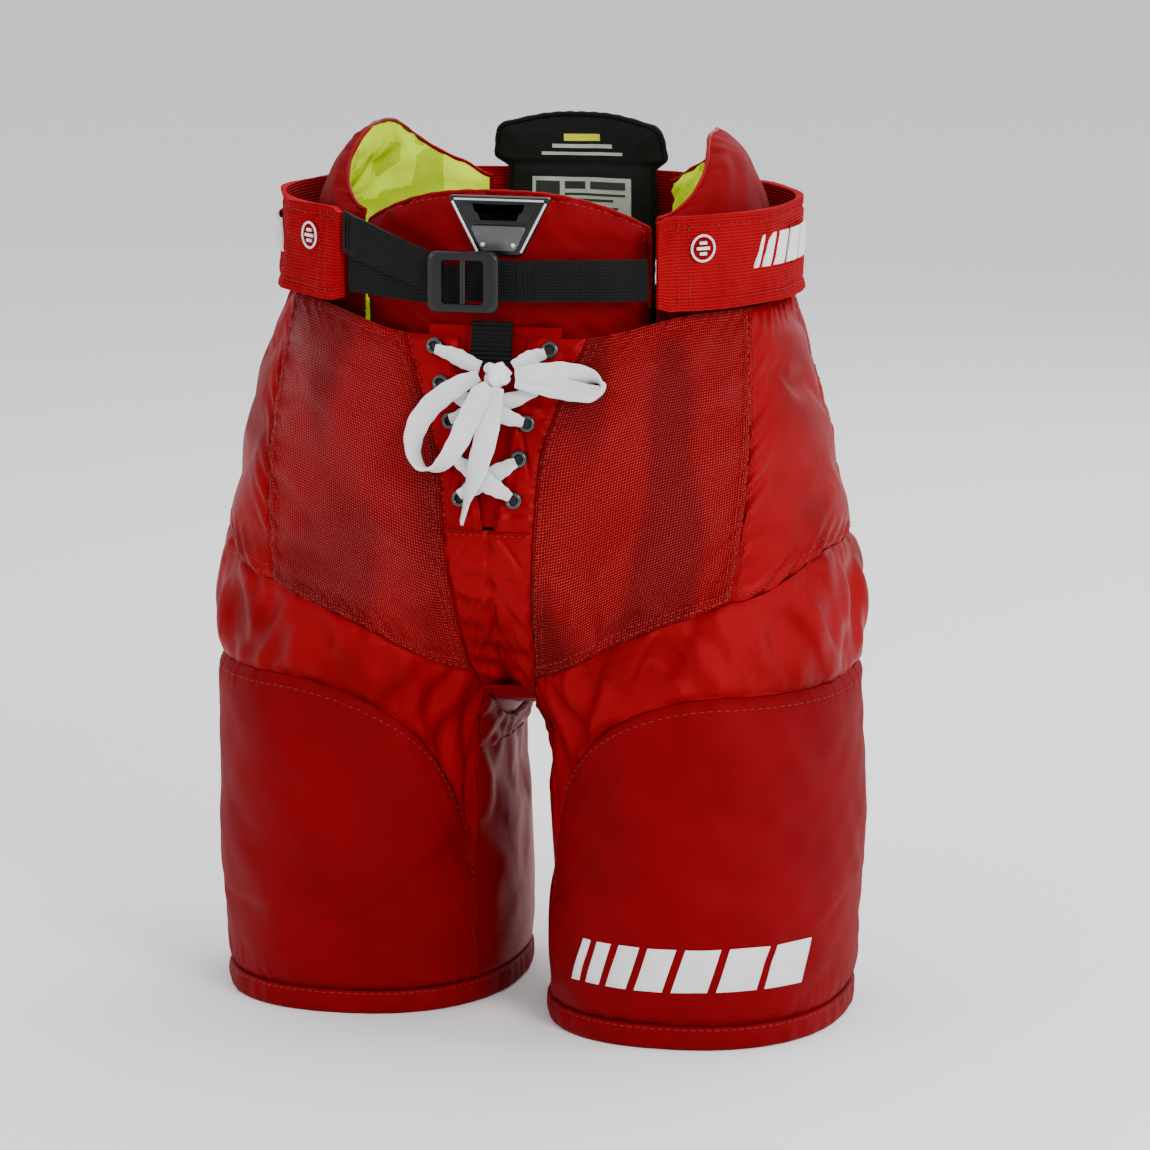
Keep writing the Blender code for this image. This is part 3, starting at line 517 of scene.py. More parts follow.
class Shader:
    """One Principled material, with short calls for the nodes that feed it."""

    def __init__(self, name, colour, roughness, metallic=0.0, sheen=0.0, coat=0.0, specular=0.5):
        self.material = bpy.data.materials.new(name)
        self.material.use_nodes = True
        self.tree = self.material.node_tree
        self.bsdf = self.tree.nodes["Principled BSDF"]
        self.colour = (*colour, 1.0)
        self.bsdf.inputs["Base Color"].default_value = self.colour
        self.bsdf.inputs["Roughness"].default_value = roughness
        self.bsdf.inputs["Metallic"].default_value = metallic
        self.bsdf.inputs["Sheen Weight"].default_value = sheen
        self.bsdf.inputs["Sheen Roughness"].default_value = 0.45
        self.bsdf.inputs["Sheen Tint"].default_value = (1.0, 0.35, 0.30, 1.0)
        self.bsdf.inputs["Coat Weight"].default_value = coat
        self.bsdf.inputs["Specular IOR Level"].default_value = specular
        self.place = self.tree.nodes.new("ShaderNodeTexCoord")

    def link(self, source, target):
        self.tree.links.new(source, target)

    def math(self, operation, a, b=0.0):
        node = self.tree.nodes.new("ShaderNodeMath")
        node.operation = operation
        for socket, value in zip(node.inputs, (a, b)):
            if isinstance(value, (int, float)):
                socket.default_value = value
            else:
                self.link(value, socket)
        return node.outputs[0]

    def axes(self, output):
        node = self.tree.nodes.new("ShaderNodeSeparateXYZ")
        self.link(self.place.outputs[output], node.inputs[0])
        return node.outputs

    def wave(self, socket, pitch):
        turned = self.math("MULTIPLY_ADD", socket, 2 * math.pi / pitch)
        turned.node.inputs[2].default_value = 0.0
        return self.math("SINE", turned)

    def noise(self, scale, detail=3.0, stretch=None):
        node = self.tree.nodes.new("ShaderNodeTexNoise")
        node.inputs["Scale"].default_value = scale
        node.inputs["Detail"].default_value = detail
        source = self.place.outputs["Object"]
        if stretch:
            mapping = self.tree.nodes.new("ShaderNodeMapping")
            mapping.inputs["Scale"].default_value = stretch
            self.link(source, mapping.inputs["Vector"])
            source = mapping.outputs[0]
        self.link(source, node.inputs["Vector"])
        return node.outputs["Fac"]

    def band(self, socket, low, high):
        node = self.tree.nodes.new("ShaderNodeMapRange")
        node.interpolation_type = "SMOOTHSTEP"
        node.inputs["From Min"].default_value = low
        node.inputs["From Max"].default_value = high
        self.link(socket, node.inputs["Value"])
        return node.outputs[0]

    def tint(self, share, other, base=None):
        """Mix the base colour towards another by share, and feed the shader."""
        node = self.tree.nodes.new("ShaderNodeMix")
        node.data_type = "RGBA"
        self.link(share, node.inputs["Factor"])
        if base is None:
            node.inputs["A"].default_value = self.colour
        else:
            self.link(base, node.inputs["A"])
        node.inputs["B"].default_value = (*other, 1.0)
        self.link(node.outputs["Result"], self.bsdf.inputs["Base Color"])
        return node.outputs["Result"]

    def roughen(self, share, low, high):
        node = self.tree.nodes.new("ShaderNodeMapRange")
        node.inputs["To Min"].default_value = low
        node.inputs["To Max"].default_value = high
        self.link(share, node.inputs["Value"])
        self.link(node.outputs[0], self.bsdf.inputs["Roughness"])

    def bump(self, height, distance, strength=1.0, under=None):
        node = self.tree.nodes.new("ShaderNodeBump")
        node.inputs["Distance"].default_value = distance
        node.inputs["Strength"].default_value = strength
        self.link(height, node.inputs["Height"])
        if under is not None:
            self.link(under, node.inputs["Normal"])
        self.link(node.outputs[0], self.bsdf.inputs["Normal"])
        return node.outputs[0]


NET_PITCH = 0.0020 * 1.41


def woven(name, colour, deep, roughness, pitch=0.0009, grain=0.00005, crinkle=0.0005, specular=0.4,
          metallic=0.0):
    """Plain-woven nylon: crossing threads, soft crinkles and a slow change of tone."""
    shader = Shader(name, colour, roughness, metallic=metallic, specular=specular)
    u, v, _ = shader.axes("UV")
    threads = shader.math("MULTIPLY", shader.wave(u, pitch), shader.wave(v, pitch))
    slow = shader.noise(22.0, 2.0)
    toned = shader.tint(shader.band(slow, 0.35, 0.75), deep)
    shader.tint(shader.band(threads, 0.9, -1.6), deep, toned)
    shader.roughen(shader.noise(70.0, 2.0), roughness - 0.06, roughness + 0.08)
    coarse = shader.bump(shader.noise(130.0, 4.0), crinkle, 0.35)
    shader.bump(threads, grain, 0.6, coarse)
    return shader.material


def open_mesh(name, colour, deep, bright):
    """Shiny warp-knit mesh: a net of filaments with painted highlights, over openings painted dark as shade,
    in paler and darker bands that are partly a layer behind and partly painted highlight bands.
    """
    shader = Shader(name, colour, 0.34, metallic=0.45, specular=0.15)
    u, v, _ = shader.axes("UV")
    rise = shader.math("ADD", u, v)
    fall = shader.math("SUBTRACT", u, v)
    net = shader.math("MULTIPLY", shader.wave(rise, NET_PITCH), shader.wave(fall, NET_PITCH))
    # Paler and darker bands: partly a second layer of mesh behind, partly painted highlight bands.
    backing_and_highlight_bands = shader.noise(13.0, 1.0, (1.6, 1.0, 0.5))
    toned = shader.tint(shader.band(backing_and_highlight_bands, 0.44, 0.56), deep)
    # Painted shade: the openings of the net are darkened as if the inside showed through them in shade.
    holes = shader.band(net, 0.05, 0.65)
    darker = shader.tint(holes, tuple(c * 0.30 for c in deep), toned)
    # Painted highlight: the bright colour on the filaments stands in for glints of light on the shiny net.
    shader.tint(shader.math("MULTIPLY", shader.band(net, -0.35, -0.95), 0.55), bright, darker)
    shader.roughen(holes, 0.28, 0.60)
    shader.bump(net, 0.00040, 1.0)
    return shader.material


def ribbed(name, colour, deep, pitch, depth, roughness=0.8, cross=0.0010, specular=0.2):
    """Ribbed elastic or webbing: ribs run along the strip, crossed by finer threads, with painted shade
    darkening the grooves between the ribs.
    """
    shader = Shader(name, colour, roughness, specular=specular)
    u, v, _ = shader.axes("UV")
    ribs = shader.wave(v, pitch)
    threads = shader.wave(u, cross)
    both = shader.math("MULTIPLY_ADD", threads, 0.35)
    shader.link(ribs, both.node.inputs[2])
    slow = shader.noise(30.0, 2.0)
    toned = shader.tint(shader.band(slow, 0.35, 0.75), tuple(mix(a, b, 0.5) for a, b in zip(colour, deep)))
    # Painted shade: the colour is darkened in the grooves, where the bump height is low.
    shader.tint(shader.band(both, 0.1, -1.2), deep, toned)
    shader.bump(both, depth, 0.9)
    return shader.material


def lining(name):
    """Brushed neon tricot with angular paler patches and rows of small pressed dots."""
    shader = Shader(name, (0.66, 0.86, 0.0), 0.80, specular=0.03)
    shader.bsdf.inputs["Sheen Tint"].default_value = (1.0, 1.0, 0.8, 1.0)
    u, v, _ = shader.axes("UV")
    node = shader.tree.nodes.new("ShaderNodeTexVoronoi")
    node.inputs["Scale"].default_value = 58.0
    node.distance = "CHEBYCHEV"
    shader.link(shader.place.outputs["Object"], node.inputs["Vector"])
    patch = shader.band(node.outputs["Color"], 0.45, 0.55)
    toned = shader.tint(shader.math("MULTIPLY", patch, 0.75), (0.40, 0.53, 0.0))
    dots = shader.math("MULTIPLY", shader.wave(u, 0.0022), shader.wave(v, 0.0022))
    spots = shader.math("MULTIPLY", shader.band(dots, 0.35, 0.8), patch)
    shader.tint(spots, (0.26, 0.36, 0.0), toned)
    soft = shader.bump(shader.noise(200.0, 3.0), 0.0004, 0.4)
    shader.bump(spots, 0.0002, 0.7, soft)
    return shader.material


def diamond_knit(name):
    """Black knit with a raised diamond grid."""
    shader = Shader(name, (0.0035, 0.0035, 0.0040), 0.80, specular=0.12)
    u, v, _ = shader.axes("UV")
    rise = shader.wave(shader.math("ADD", u, v), 0.0034)
    fall = shader.wave(shader.math("SUBTRACT", u, v), 0.0034)
    grid = shader.math("MAXIMUM", shader.math("ABSOLUTE", rise), shader.math("ABSOLUTE", fall))
    shader.tint(shader.band(grid, 0.55, 1.0), (0.012, 0.012, 0.013))
    shader.bump(shader.band(grid, 0.3, 1.0), 0.00035, 0.8)
    return shader.material


def moulded(name, colour, roughness, worn, coat=0.0, metallic=0.0, specular=0.5):
    """Moulded or painted hardware: fine texture, slightly uneven gloss and paler handled spots."""
    shader = Shader(name, colour, roughness, metallic=metallic, coat=coat, specular=specular)
    shader.tint(shader.band(shader.noise(160.0, 4.0), 0.52, 0.85), worn)
    shader.roughen(shader.noise(90.0, 3.0), roughness - 0.06, roughness + 0.12)
    shader.bump(shader.noise(1400.0, 2.0), 0.00006, 0.35)
    return shader.material


def cotton(name):
    """Flat woven cotton lace: a herringbone of soft white yarns."""
    shader = Shader(name, (0.80, 0.80, 0.82), 0.88, sheen=0.3)
    shader.bsdf.inputs["Sheen Tint"].default_value = (1.0, 1.0, 1.0, 1.0)
    u, v, _ = shader.axes("UV")
    yarns = shader.math("MULTIPLY", shader.wave(shader.math("ADD", u, v), 0.0011), shader.wave(u, 0.0009))
    toned = shader.tint(shader.band(shader.noise(90.0, 2.0), 0.4, 0.8), (0.70, 0.70, 0.73))
    shader.tint(shader.band(yarns, 0.6, -1.2), (0.62, 0.62, 0.65), toned)
    shader.bump(yarns, 0.00016, 0.7)
    return shader.material


RED = (0.270, 0.0010, 0.0050)
RED_DEEP = (0.165, 0.0006, 0.0030)
WEBBING_BLACK, WEBBING_DEEP = (0.0040, 0.0040, 0.0044), (0.0010, 0.0010, 0.0011)
MATERIALS = {
    "shell": woven("shell_nylon", RED, RED_DEEP, 0.44, crinkle=0.0005, specular=0.06, metallic=0.42),
    "pad": woven("pad_nylon", (0.185, 0.0010, 0.0045), (0.140, 0.0008, 0.0034), 0.64, crinkle=0.0002,
                 specular=0.05, metallic=0.18),
    "mesh": open_mesh("front_mesh", (0.280, 0.0010, 0.0045), (0.150, 0.0006, 0.0024), (0.80, 0.02, 0.03)),
    "elastic": ribbed("ribbed_elastic", (0.390, 0.0012, 0.0068), (0.230, 0.0008, 0.0040), 0.0016, 0.00045,
                      specular=0.05),
    "webbing": ribbed("black_webbing_cloth", WEBBING_BLACK, WEBBING_DEEP, 0.0016, 0.0003,
                      roughness=0.62, cross=0.0012, specular=0.16),
    "webbing_across": ribbed("keeper_webbing_cloth", WEBBING_BLACK, WEBBING_DEEP, 0.0022, 0.0004,
                             roughness=0.62, cross=0.0014, specular=0.16),
    "lining": lining("neon_tricot"),
    "knit": diamond_knit("spine_knit"),
    "plastic": moulded("black_moulding", (0.0040, 0.0040, 0.0044), 0.28, (0.009, 0.009, 0.0095),
                       specular=0.35),
    "silver": moulded("silver_paint_coat", (0.55, 0.56, 0.58), 0.32, (0.68, 0.69, 0.71), metallic=0.5),
    "badge_face": moulded("badge_face_coat", (0.10, 0.10, 0.105), 0.36, (0.15, 0.15, 0.155), metallic=0.7),
    "enamel": moulded("black_enamel", (0.010, 0.010, 0.011), 0.16, (0.020, 0.020, 0.020), coat=0.8),
    "cotton": cotton("white_lace_cotton"),
    "guard": moulded("guard_moulding", (0.018, 0.018, 0.020), 0.45, (0.035, 0.035, 0.037)),
    "thread": woven("seam_thread", (0.20, 0.0008, 0.0012), (0.12, 0.0005, 0.0008), 0.55, crinkle=0.0001),
    "ink": woven("white_embroidery", (0.82, 0.82, 0.83), (0.66, 0.66, 0.68), 0.50, pitch=0.0011,
                 grain=0.0002),
    "print_yellow": woven("yellow_print", (0.72, 0.66, 0.03), (0.60, 0.55, 0.03), 0.60),
    "print_grey": woven("grey_print", (0.50, 0.50, 0.52), (0.40, 0.40, 0.42), 0.60),
    "label": woven("label_satin", (0.42, 0.43, 0.45), (0.36, 0.37, 0.38), 0.50),
    "label_dark": woven("label_dark_print", (0.012, 0.012, 0.013), (0.020, 0.020, 0.021), 0.60),
    # Dark inner cloth of the hip lining, also used as painted shade in the eyelet holes.
    "inside": woven("inner_cloth_and_hole_shade", (0.012, 0.012, 0.013), (0.020, 0.020, 0.022), 0.85),
}


# ---------------------------------------------------------------- legs

MARK_TURN, MARK_RADIUS = 121.0, 0.0885


def pad_top(turn):
    """Height of the thigh pad's edge: level outside, falling in a rounded corner to the inside."""
    share = np.clip((turn - PAD_CORNER_START) / (PAD_INNER_EDGE - PAD_CORNER_START), 0.0, 1.0)
    corner = (1 - share ** PAD_CORNER_POWER) ** (1 / PAD_CORNER_POWER)
    return PAD_CORNER_BASE + (PAD_TOP - PAD_CORNER_BASE) * corner


def corner_turns(back, count_flat, count_corner):
    """Turns from the pad's back edge to its inner edge, closer together round the corner."""
    flat = mix(back, PAD_CORNER_START, steps(count_flat))
    corner = np.sin(np.radians(90 * steps(count_corner)[1:]))
    return np.concatenate([flat, mix(PAD_CORNER_START, PAD_INNER_EDGE, corner)])


def leg_centre(side):
    return (side * LEG_SPREAD, 0.0, 0.1)


def guard_step(turns, heights):
    """A shallow ledge where the moulded guard inside the pad ends."""
    bottom = 0.052 + 0.030 * smooth(95.0, 128.0, turns) + 0.018 * smooth(45.0, 8.0, turns)
    inside = smooth(-0.0025, 0.0025, heights - bottom) * smooth(132.0, 118.0, turns)
    inside = inside * smooth(-46.0, -30.0, turns)
    return 0.0007 * inside


def thigh_pad(side):
    turns = corner_turns(PAD_BACK_EDGE + 0.2, 90, 60)[:, None]
    turns, share = np.broadcast_arrays(turns, steps(84)[None, :])
    heights = mix(HEM_TOP + 0.0003, pad_top(turns), share)
    points = form(side, turns, heights)
    edge = border(points)
    across, up = lengths(points)
    puff = 0.0016 * (1 - np.exp(-(edge / 0.010) ** 1.4))
    swell = 0.0007 * waves(31 + side, across, up, 0.085) + 0.00025 * waves(33 + side, across, up, 0.03)
    relief = puff + swell * smooth(0.0, 0.02, edge) + guard_step(turns, heights)
    relief = relief + seam_dip(edge, 0.0018, 0.0022) + pucker(35 + side, across, edge, 0.00035, 0.008, 0.012)
    piece, surface, normal = cloth(side_name(side) + "_thigh_pad_cover", points, relief, 0.0072,
                                   MATERIALS["pad"],
                                   side_name(side) + "_leg", side_name(side) + "_thigh_pad", leg_centre(side),
                                   blow=(4.0, 0.006, 0.0035))
    if side > 0:
        leg_mark(turns[:, 0], surface, normal)
    row = [surface[3:-3, -4], surface[-4, 3:-3][::-1]]
    path = np.concatenate(row)
    lift = np.concatenate([normal[3:-3, -4], normal[-4, 3:-3][::-1]])
    stitches(side_name(side) + "_pad_stitching", path + lift * 0.0001, lift, MATERIALS["thread"],
             side_name(side) + "_leg", pitch=0.0042, length=0.0026)


def inner_thigh_panel(side):
    turns = mix(PAD_INNER_EDGE - 2.5, 360.0 + PAD_BACK_EDGE + 2.5, steps(130))[:, None]
    turns, share = np.broadcast_arrays(turns, steps(60)[None, :])
    heights = mix(HEM_TOP - 0.0005, mix(0.1300, 0.1672, smooth(215.0, 290.0, turns)), share)
    points = form(side, turns, heights, 0.0009)
    across, up = lengths(points)
    edge = border(points)
    relief = 0.0010 * drapes(41 + side, across, up * 0.4, 0.045) * smooth(0.0, 0.02, edge)
    relief = relief + 0.0006 * drapes(43 + side, across, up * 0.3, 0.020) * smooth(0.06, 0.13, heights)
    relief = relief + seam_dip(border(points, "lrb"), 0.0014)
    piece, _, _ = cloth(side_name(side) + "_inner_thigh_cloth", points, relief, 0.0022, MATERIALS["shell"],
                        side_name(side) + "_leg", side_name(side) + "_inner_thigh_panel", leg_centre(side),
                        blow=(2.0, 0.010, 0.0040))


def hem_binding(side):
    """The padded hem: a rounded roll of doubled cloth with a stitched groove above it."""
    turns = (360.0 * steps(220)[:-1])[:, None]
    profile = steps(14)[None, :]
    turns, profile = np.broadcast_arrays(turns, profile)
    angle = mix(-0.5 * math.pi, 0.5 * math.pi, profile)
    heights = HEM_TOP / 2 * (1 + np.sin(angle))
    bulge = 0.0016 * np.cos(angle) ** 0.7
    outer = form(side, turns, np.full_like(turns, HEM_TOP / 2), 0.0006)
    outer[..., 2] = heights
    across, _ = lengths(outer)
    across = np.broadcast_to(across, turns.shape)
    normal = outward(outer, np.array(leg_centre(side)), looped=True)
    normal[..., 2] = 0.0
    soft = 0.00035 * waves(51 + side, across, heights * 0.4, 0.011) * np.cos(angle)
    surface = outer + normal * (bulge + soft)[..., None]
    inner = form(side, turns, np.full_like(turns, HEM_TOP / 2), 0.0058)
    inner[..., 2] = heights
    piece = slab(side_name(side) + "_hem_roll", surface, inner, MATERIALS["pad"], looped=True)
    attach(piece, side_name(side) + "_leg")
    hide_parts(side_name(side) + "_hem_binding")
    line = surface[:, 11]
    out = normal[:, 11]
    closed = np.concatenate([line, line[:1]])
    stitches(side_name(side) + "_hem_stitching", closed, np.concatenate([out, out[:1]]), MATERIALS["thread"],
             side_name(side) + "_leg", pitch=0.0040, length=0.0026)


def shell_bottom(turn):
    """The shell's lower seam round the side and the back."""
    side_part = mix(0.218, SIDE_SEAM, smooth(70.0, 20.0, turn))
    seat_part = mix(side_part, SEAT_SEAM, smooth(-20.0, -60.0, turn))
    return mix(seat_part, SEAT_CENTRE, smooth(-75.0, -130.0, turn))


def height_beside_centre(side, turns, spare=0.0):
    """The height at which the form closes up to the gussets along the centre."""
    low, high = np.full_like(turns, LEG_TOP), np.full_like(turns, HIP_START)
    for _ in range(26):
        middle = (low + high) / 2
        clear = side * form(side, turns, middle)[..., 0] > along(PLACKET, middle) + spare
        low = np.where(clear, middle, low)
        high = np.where(clear, high, middle)
    return low


def flex_gusset(side):
    """The gathered cloth between a leg's pads and the shell."""
    inside = mix(PAD_INNER_EDGE + 0.4, 360.0 + PAD_BACK_EDGE - 1.0, steps(170))
    turns = np.concatenate([corner_turns(PAD_BACK_EDGE, 110, 80), inside])
    under_panel = mix(0.1284, 0.1656, smooth(215.0, 290.0, turns))
    lower = np.where(turns <= PAD_INNER_EDGE, pad_top(turns), under_panel) + 0.0003
    front_top = np.where(turns < 70.0, shell_bottom(turns), along(MESH_BOTTOM, turns))
    upper = np.where(turns < 180.0, front_top, shell_bottom(turns - 360.0))
    upper = np.minimum(upper, height_beside_centre(side, turns, 0.0002)) - 0.0003
    turns, share = np.broadcast_arrays(turns[:, None], steps(64)[None, :])
    heights = mix(lower[:, None], upper[:, None], share)
    points = form(side, turns, heights)
    across, up = lengths(points)
    tall = (upper - lower)[:, None]
    middle = np.sin(math.pi * share) ** 0.6
    gathered = 0.0024 * drapes(61 + side, across + 0.20 * up, up * 0.10, 0.040)
    gathered = gathered + 0.0010 * drapes(63 + side, across - 0.30 * up, up * 0.12, 0.019)
    relief = gathered * middle * np.clip(tall / 0.045, 0.15, 1.0)
    fringe = np.minimum(share, 1 - share) * tall
    relief = relief + seam_dip(fringe, 0.0012, 0.0025)
    relief = relief + pucker(65 + side, across, fringe, 0.0004, 0.012, 0.010)
    piece, _, _ = cloth(side_name(side) + "_flex_cloth", points, relief, 0.0020, MATERIALS["shell"], None,
                        None, leg_centre(side), looped=True, blow=(1.5, 0.007, 0.0035))
    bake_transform(piece)
    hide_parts(side_name(side) + "_flex_gusset")


TUCK_BELOW_SEAM, TUCK_ABOVE_SEAM, TUCK_INSET = 0.0180, 0.0080, 0.0042


def seam_tuck(side):
    """A hidden band behind the mesh panel's lower seam, which fills the gap when the leg swings back."""
    turns = mix(58.0, 178.0, steps(90))
    seam = np.minimum(along(MESH_BOTTOM, turns), height_beside_centre(side, turns, 0.0002))
    turns, share = np.broadcast_arrays(turns[:, None], steps(12)[None, :])
    heights = seam[:, None] + mix(-TUCK_BELOW_SEAM, TUCK_ABOVE_SEAM, share)
    points = form(side, turns, heights, TUCK_INSET)
    out = outward(points, leg_centre(side))
    piece = slab(side_name(side) + "_seam_tuck", points, points - out * 0.0008, MATERIALS["shell"])
    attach(piece, "hips")


def slanted_bars(name, surface_at, count, start, width, gap, low, high, slant, material, body):
    """A generic mark: a row of slanted embroidered bars, each a little wider than the last."""
    place = start
    for number in range(count):
        wide = width * (0.35 + 1.3 * number / max(count - 1, 1))
        across, up = steps(10)[:, None], steps(14)[None, :]
        u = place + wide * across + slant * up
        v = mix(low, high, up) + 0.0 * u
        points, normal = surface_at(u, v)
        dome = 0.0007 * (1 - (2 * across - 1) ** 8) * (1 - (2 * up - 1) ** 8)
        outer = points + normal * (0.0005 + dome)[..., None]
        piece = slab(f"{name}_{number + 1}", outer, points - normal * 0.0003, material)
        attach(piece, body)
        place += wide + gap
    return place


def leg_mark(turns, surface, normal):
    """White embroidered bars low on the front of the left pad, in place of lettering."""
    rows = surface.shape[1] - 1

    def surface_at(u, v):
        turn = MARK_TURN - np.degrees(u / MARK_RADIUS)
        column = np.interp(turn, turns, np.arange(len(turns)))
        row = rows * (v - HEM_TOP) / (pad_top(turn) - HEM_TOP)
        return sampled(surface, column, row), sampled(normal, column, row)
    slanted_bars("leg_mark_bar", surface_at, 7, 0.0, 0.0135, 0.0042, 0.0290, 0.0500, 0.0065, MATERIALS["ink"],
                 "left_leg")


def lifted(placed, height):
    points, normal = placed
    return points + normal * height, normal


# ---------------------------------------------------------------- shell

def yoke_top(x):
    return mix(YOKE_TOP_CENTRE, YOKE_TOP_SIDE, smooth(0.04, 0.10, x))


def shell_grid(side, turn_start, turn_end, bottom, columns, rows):
    """Turns and heights of a shell panel whose side edges follow turn_start(z) and turn_end(z)."""
    across, up = steps(columns)[:, None], steps(rows)[None, :]
    heights = np.full((columns + 1, rows + 1), 0.28)
    for _ in range(5):
        turns = mix(turn_start(heights), turn_end(heights), across)
        top = yoke_top(np.abs(form(side, turns, heights)[..., 0]))
        heights = mix(bottom(turns[:, :1]), top[:, -1:], up)
    return turns, heights


def edge_rows(surface, normal, edges, offsets):
    """Paths that run beside a grid's edges at the given grid offsets, with the normals there."""
    paths = []
    for edge in edges:
        for k in offsets:
            pick = {"l": (k, slice(2, -2)), "r": (-1 - k, slice(2, -2)),
                    "b": (slice(2, -2), k), "t": (slice(2, -2), -1 - k)}[edge]
            paths.append((surface[pick], normal[pick]))
    return paths


def sew(name, surface, normal, edges, offsets):
    for number, (path, lift) in enumerate(edge_rows(surface, normal, edges, offsets)):
        stitches(f"{name}_stitching_{number + 1}", path, lift, MATERIALS["thread"], "hips", pitch=0.0036)


def mesh_panel(side):
    turns, heights = shell_grid(side, lambda z: along(MESH_OUTER_TURN, z) + 0.1,
                                lambda z: turn_at(side, along(PLACKET, z) + 0.0001, z),
                                lambda turn: along(MESH_BOTTOM, turn), 110, 130)
    points = form(side, turns, heights)
    across, up = lengths(points)
    edge = border(points)
    slack = 0.0011 * drapes(71 + side, across * 0.8 + up * 0.3, up * 0.6, 0.060)
    relief = (slack + 0.0004 * waves(72 + side, across, up, 0.026)) * smooth(0.0, 0.025, edge)
    hang = 0.0012 * drapes(74 + side, across - 0.45 * up, up * 0.3, 0.030) * smooth(0.262, 0.205, heights)
    relief = relief + hang * smooth(0.0, 0.012, edge)
    tape = smooth(0.0062, 0.0048, edge)
    relief = relief + 0.0007 * tape + seam_dip(edge, 0.0013, 0.0016) + pucker(73 + side, across + up, edge)
    piece, surface, normal = cloth(side_name(side) + "_mesh_cloth", points, relief, 0.0016, MATERIALS["mesh"],
                                   "hips", side_name(side) + "_mesh_panel", blow=(2.0, 0.010, 0.0040))
    sew(side_name(side) + "_mesh", surface, normal, "lrb", (2, 5))


def side_panel(side):
    turns, heights = shell_grid(side, lambda z: np.full_like(z, SIDE_BACK_TURN + 0.1),
                                lambda z: along(MESH_OUTER_TURN, z) - 0.1, shell_bottom, 110, 100)
    points = form(side, turns, heights)
    across, up = lengths(points)
    edge = border(points)
    slack = 0.0018 * drapes(81 + side, across * 1.1 - up * 0.6, up * 0.4 + across * 0.3, 0.085)
    relief = slack * smooth(0.0, 0.03, edge) + 0.0003 * waves(82 + side, across, up, 0.03)
    low_folds = 0.0007 * drapes(83 + side, across + 0.4 * up, up * 0.3, 0.026)
    relief = relief + low_folds * smooth(0.285, 0.24, heights)
    relief = relief + seam_dip(edge, 0.0013, 0.0020) + pucker(84 + side, across + up, edge, 0.0006)
    piece, surface, normal = cloth(side_name(side) + "_side_cloth", points, relief, 0.0020,
                                   MATERIALS["shell"],
                                   "hips", side_name(side) + "_side_panel", blow=(3.0, 0.013, 0.0055))
    sew(side_name(side) + "_side", surface, normal, "b", (2, 5))
    sew(side_name(side) + "_side_front", surface, normal, "r", (2,))


def seat_panel(side):
    turns, heights = shell_grid(side, lambda z: turn_at(side, 0.0010, z, front=False),
                                lambda z: np.full_like(z, SIDE_BACK_TURN - 0.1), shell_bottom, 110, 110)
    points = form(side, turns, heights)
    across, up = lengths(points)
    edge = border(points)
    slack = 0.0018 * drapes(91 + side, across * 0.9, up * 0.5 - across * 0.2, 0.080)
    relief = slack * smooth(0.0, 0.03, edge) + 0.0003 * waves(92 + side, across, up, 0.03)
    relief = relief + seam_dip(edge, 0.0013, 0.0020) + pucker(94 + side, across + up, edge, 0.0006)
    piece, surface, normal = cloth(side_name(side) + "_seat_cloth", points, relief, 0.0020,
                                   MATERIALS["shell"],
                                   "hips", side_name(side) + "_seat_panel", blow=(3.0, 0.013, 0.0055))
    sew(side_name(side) + "_seat", surface, normal, "lrb", (2, 5))


def fly_facing(side):
    """The stitched facing that carries the eyelets, with a turned edge at the opening."""
    z = mix(FLY_BOTTOM + 0.0003, YOKE_TOP_CENTRE, steps(110))[None, :]
    share = steps(46)[:, None]
    x = mix(along(FLY_OPENING, z), along(PLACKET, z), share)
    z = np.broadcast_to(z, x.shape)
    points = form(side, turn_at(side, np.maximum(x, 0.0009), z), z)
    across, up = lengths(points)
    edge = border(points)
    relief = 0.0009 * creases(101 + side, across * 1.3, up * 0.8 + across, 0.030) * smooth(0.0, 0.012, edge)
    relief = relief + 0.0010 * np.exp(-((border(points, "l") - 0.003) / 0.0022) ** 2)
    relief = relief + seam_dip(edge, 0.0012, 0.0016) + pucker(102 + side, up, border(points, "lr"), 0.0005)
    piece, surface, normal = cloth(side_name(side) + "_facing_cloth", points, relief, 0.0020,
                                   MATERIALS["shell"], "hips", side_name(side) + "_fly_facing")
    sew(side_name(side) + "_facing", surface, normal, "r", (3,))
    return surface, normal


def fly_tongue():
    z = mix(FLY_BOTTOM + 0.002, 0.3500, steps(90))[None, :]
    x = along(PLACKET, z) * 0.72 * (2 * steps(60)[:, None] - 1)
    z = np.broadcast_to(z, x.shape)
    points = across_front(x, z, 0.0030)
    across, up = lengths(points)
    relief = 0.0008 * creases(111, across, up * 0.8, 0.025) * smooth(0.0, 0.01, border(points))
    relief = np.minimum(relief, 0.0)
    piece, _, _ = cloth("fly_tongue_cloth", points, relief, 0.0014, MATERIALS["shell"], "hips", "fly_tongue")


def front_gusset():
    """The front seam area below the fly, with slack folds that fall to the crotch."""
    z = mix(0.1656, FLY_BOTTOM, steps(90))[None, :]
    x = (along(PLACKET, z) - 0.0002) * (2 * steps(64)[:, None] - 1)
    z = np.broadcast_to(z, x.shape)
    points = across_front(x, z)
    across, up = lengths(points)
    edge = border(points)
    spread = x / np.maximum(along(PLACKET, z), 1e-6)
    vee = 0.0016 * folds(121, np.abs(spread) * 0.020 + (z - 0.165) * 0.30, up, 0.0105, 0.25)
    relief = (vee + 0.0006 * waves(122, across, up, 0.012)) * smooth(0.0, 0.006, edge)
    relief = relief - 0.0012 * np.exp(-(x / 0.0016) ** 2) + seam_dip(edge, 0.0011, 0.0014)
    piece, surface, normal = cloth("front_gusset_cloth", points, relief, 0.0020, MATERIALS["shell"],
                                   "hips", "front_gusset", blow=(1.0, 0.012, 0.0025))
    sew("front_gusset", surface, normal, "t", (2,))


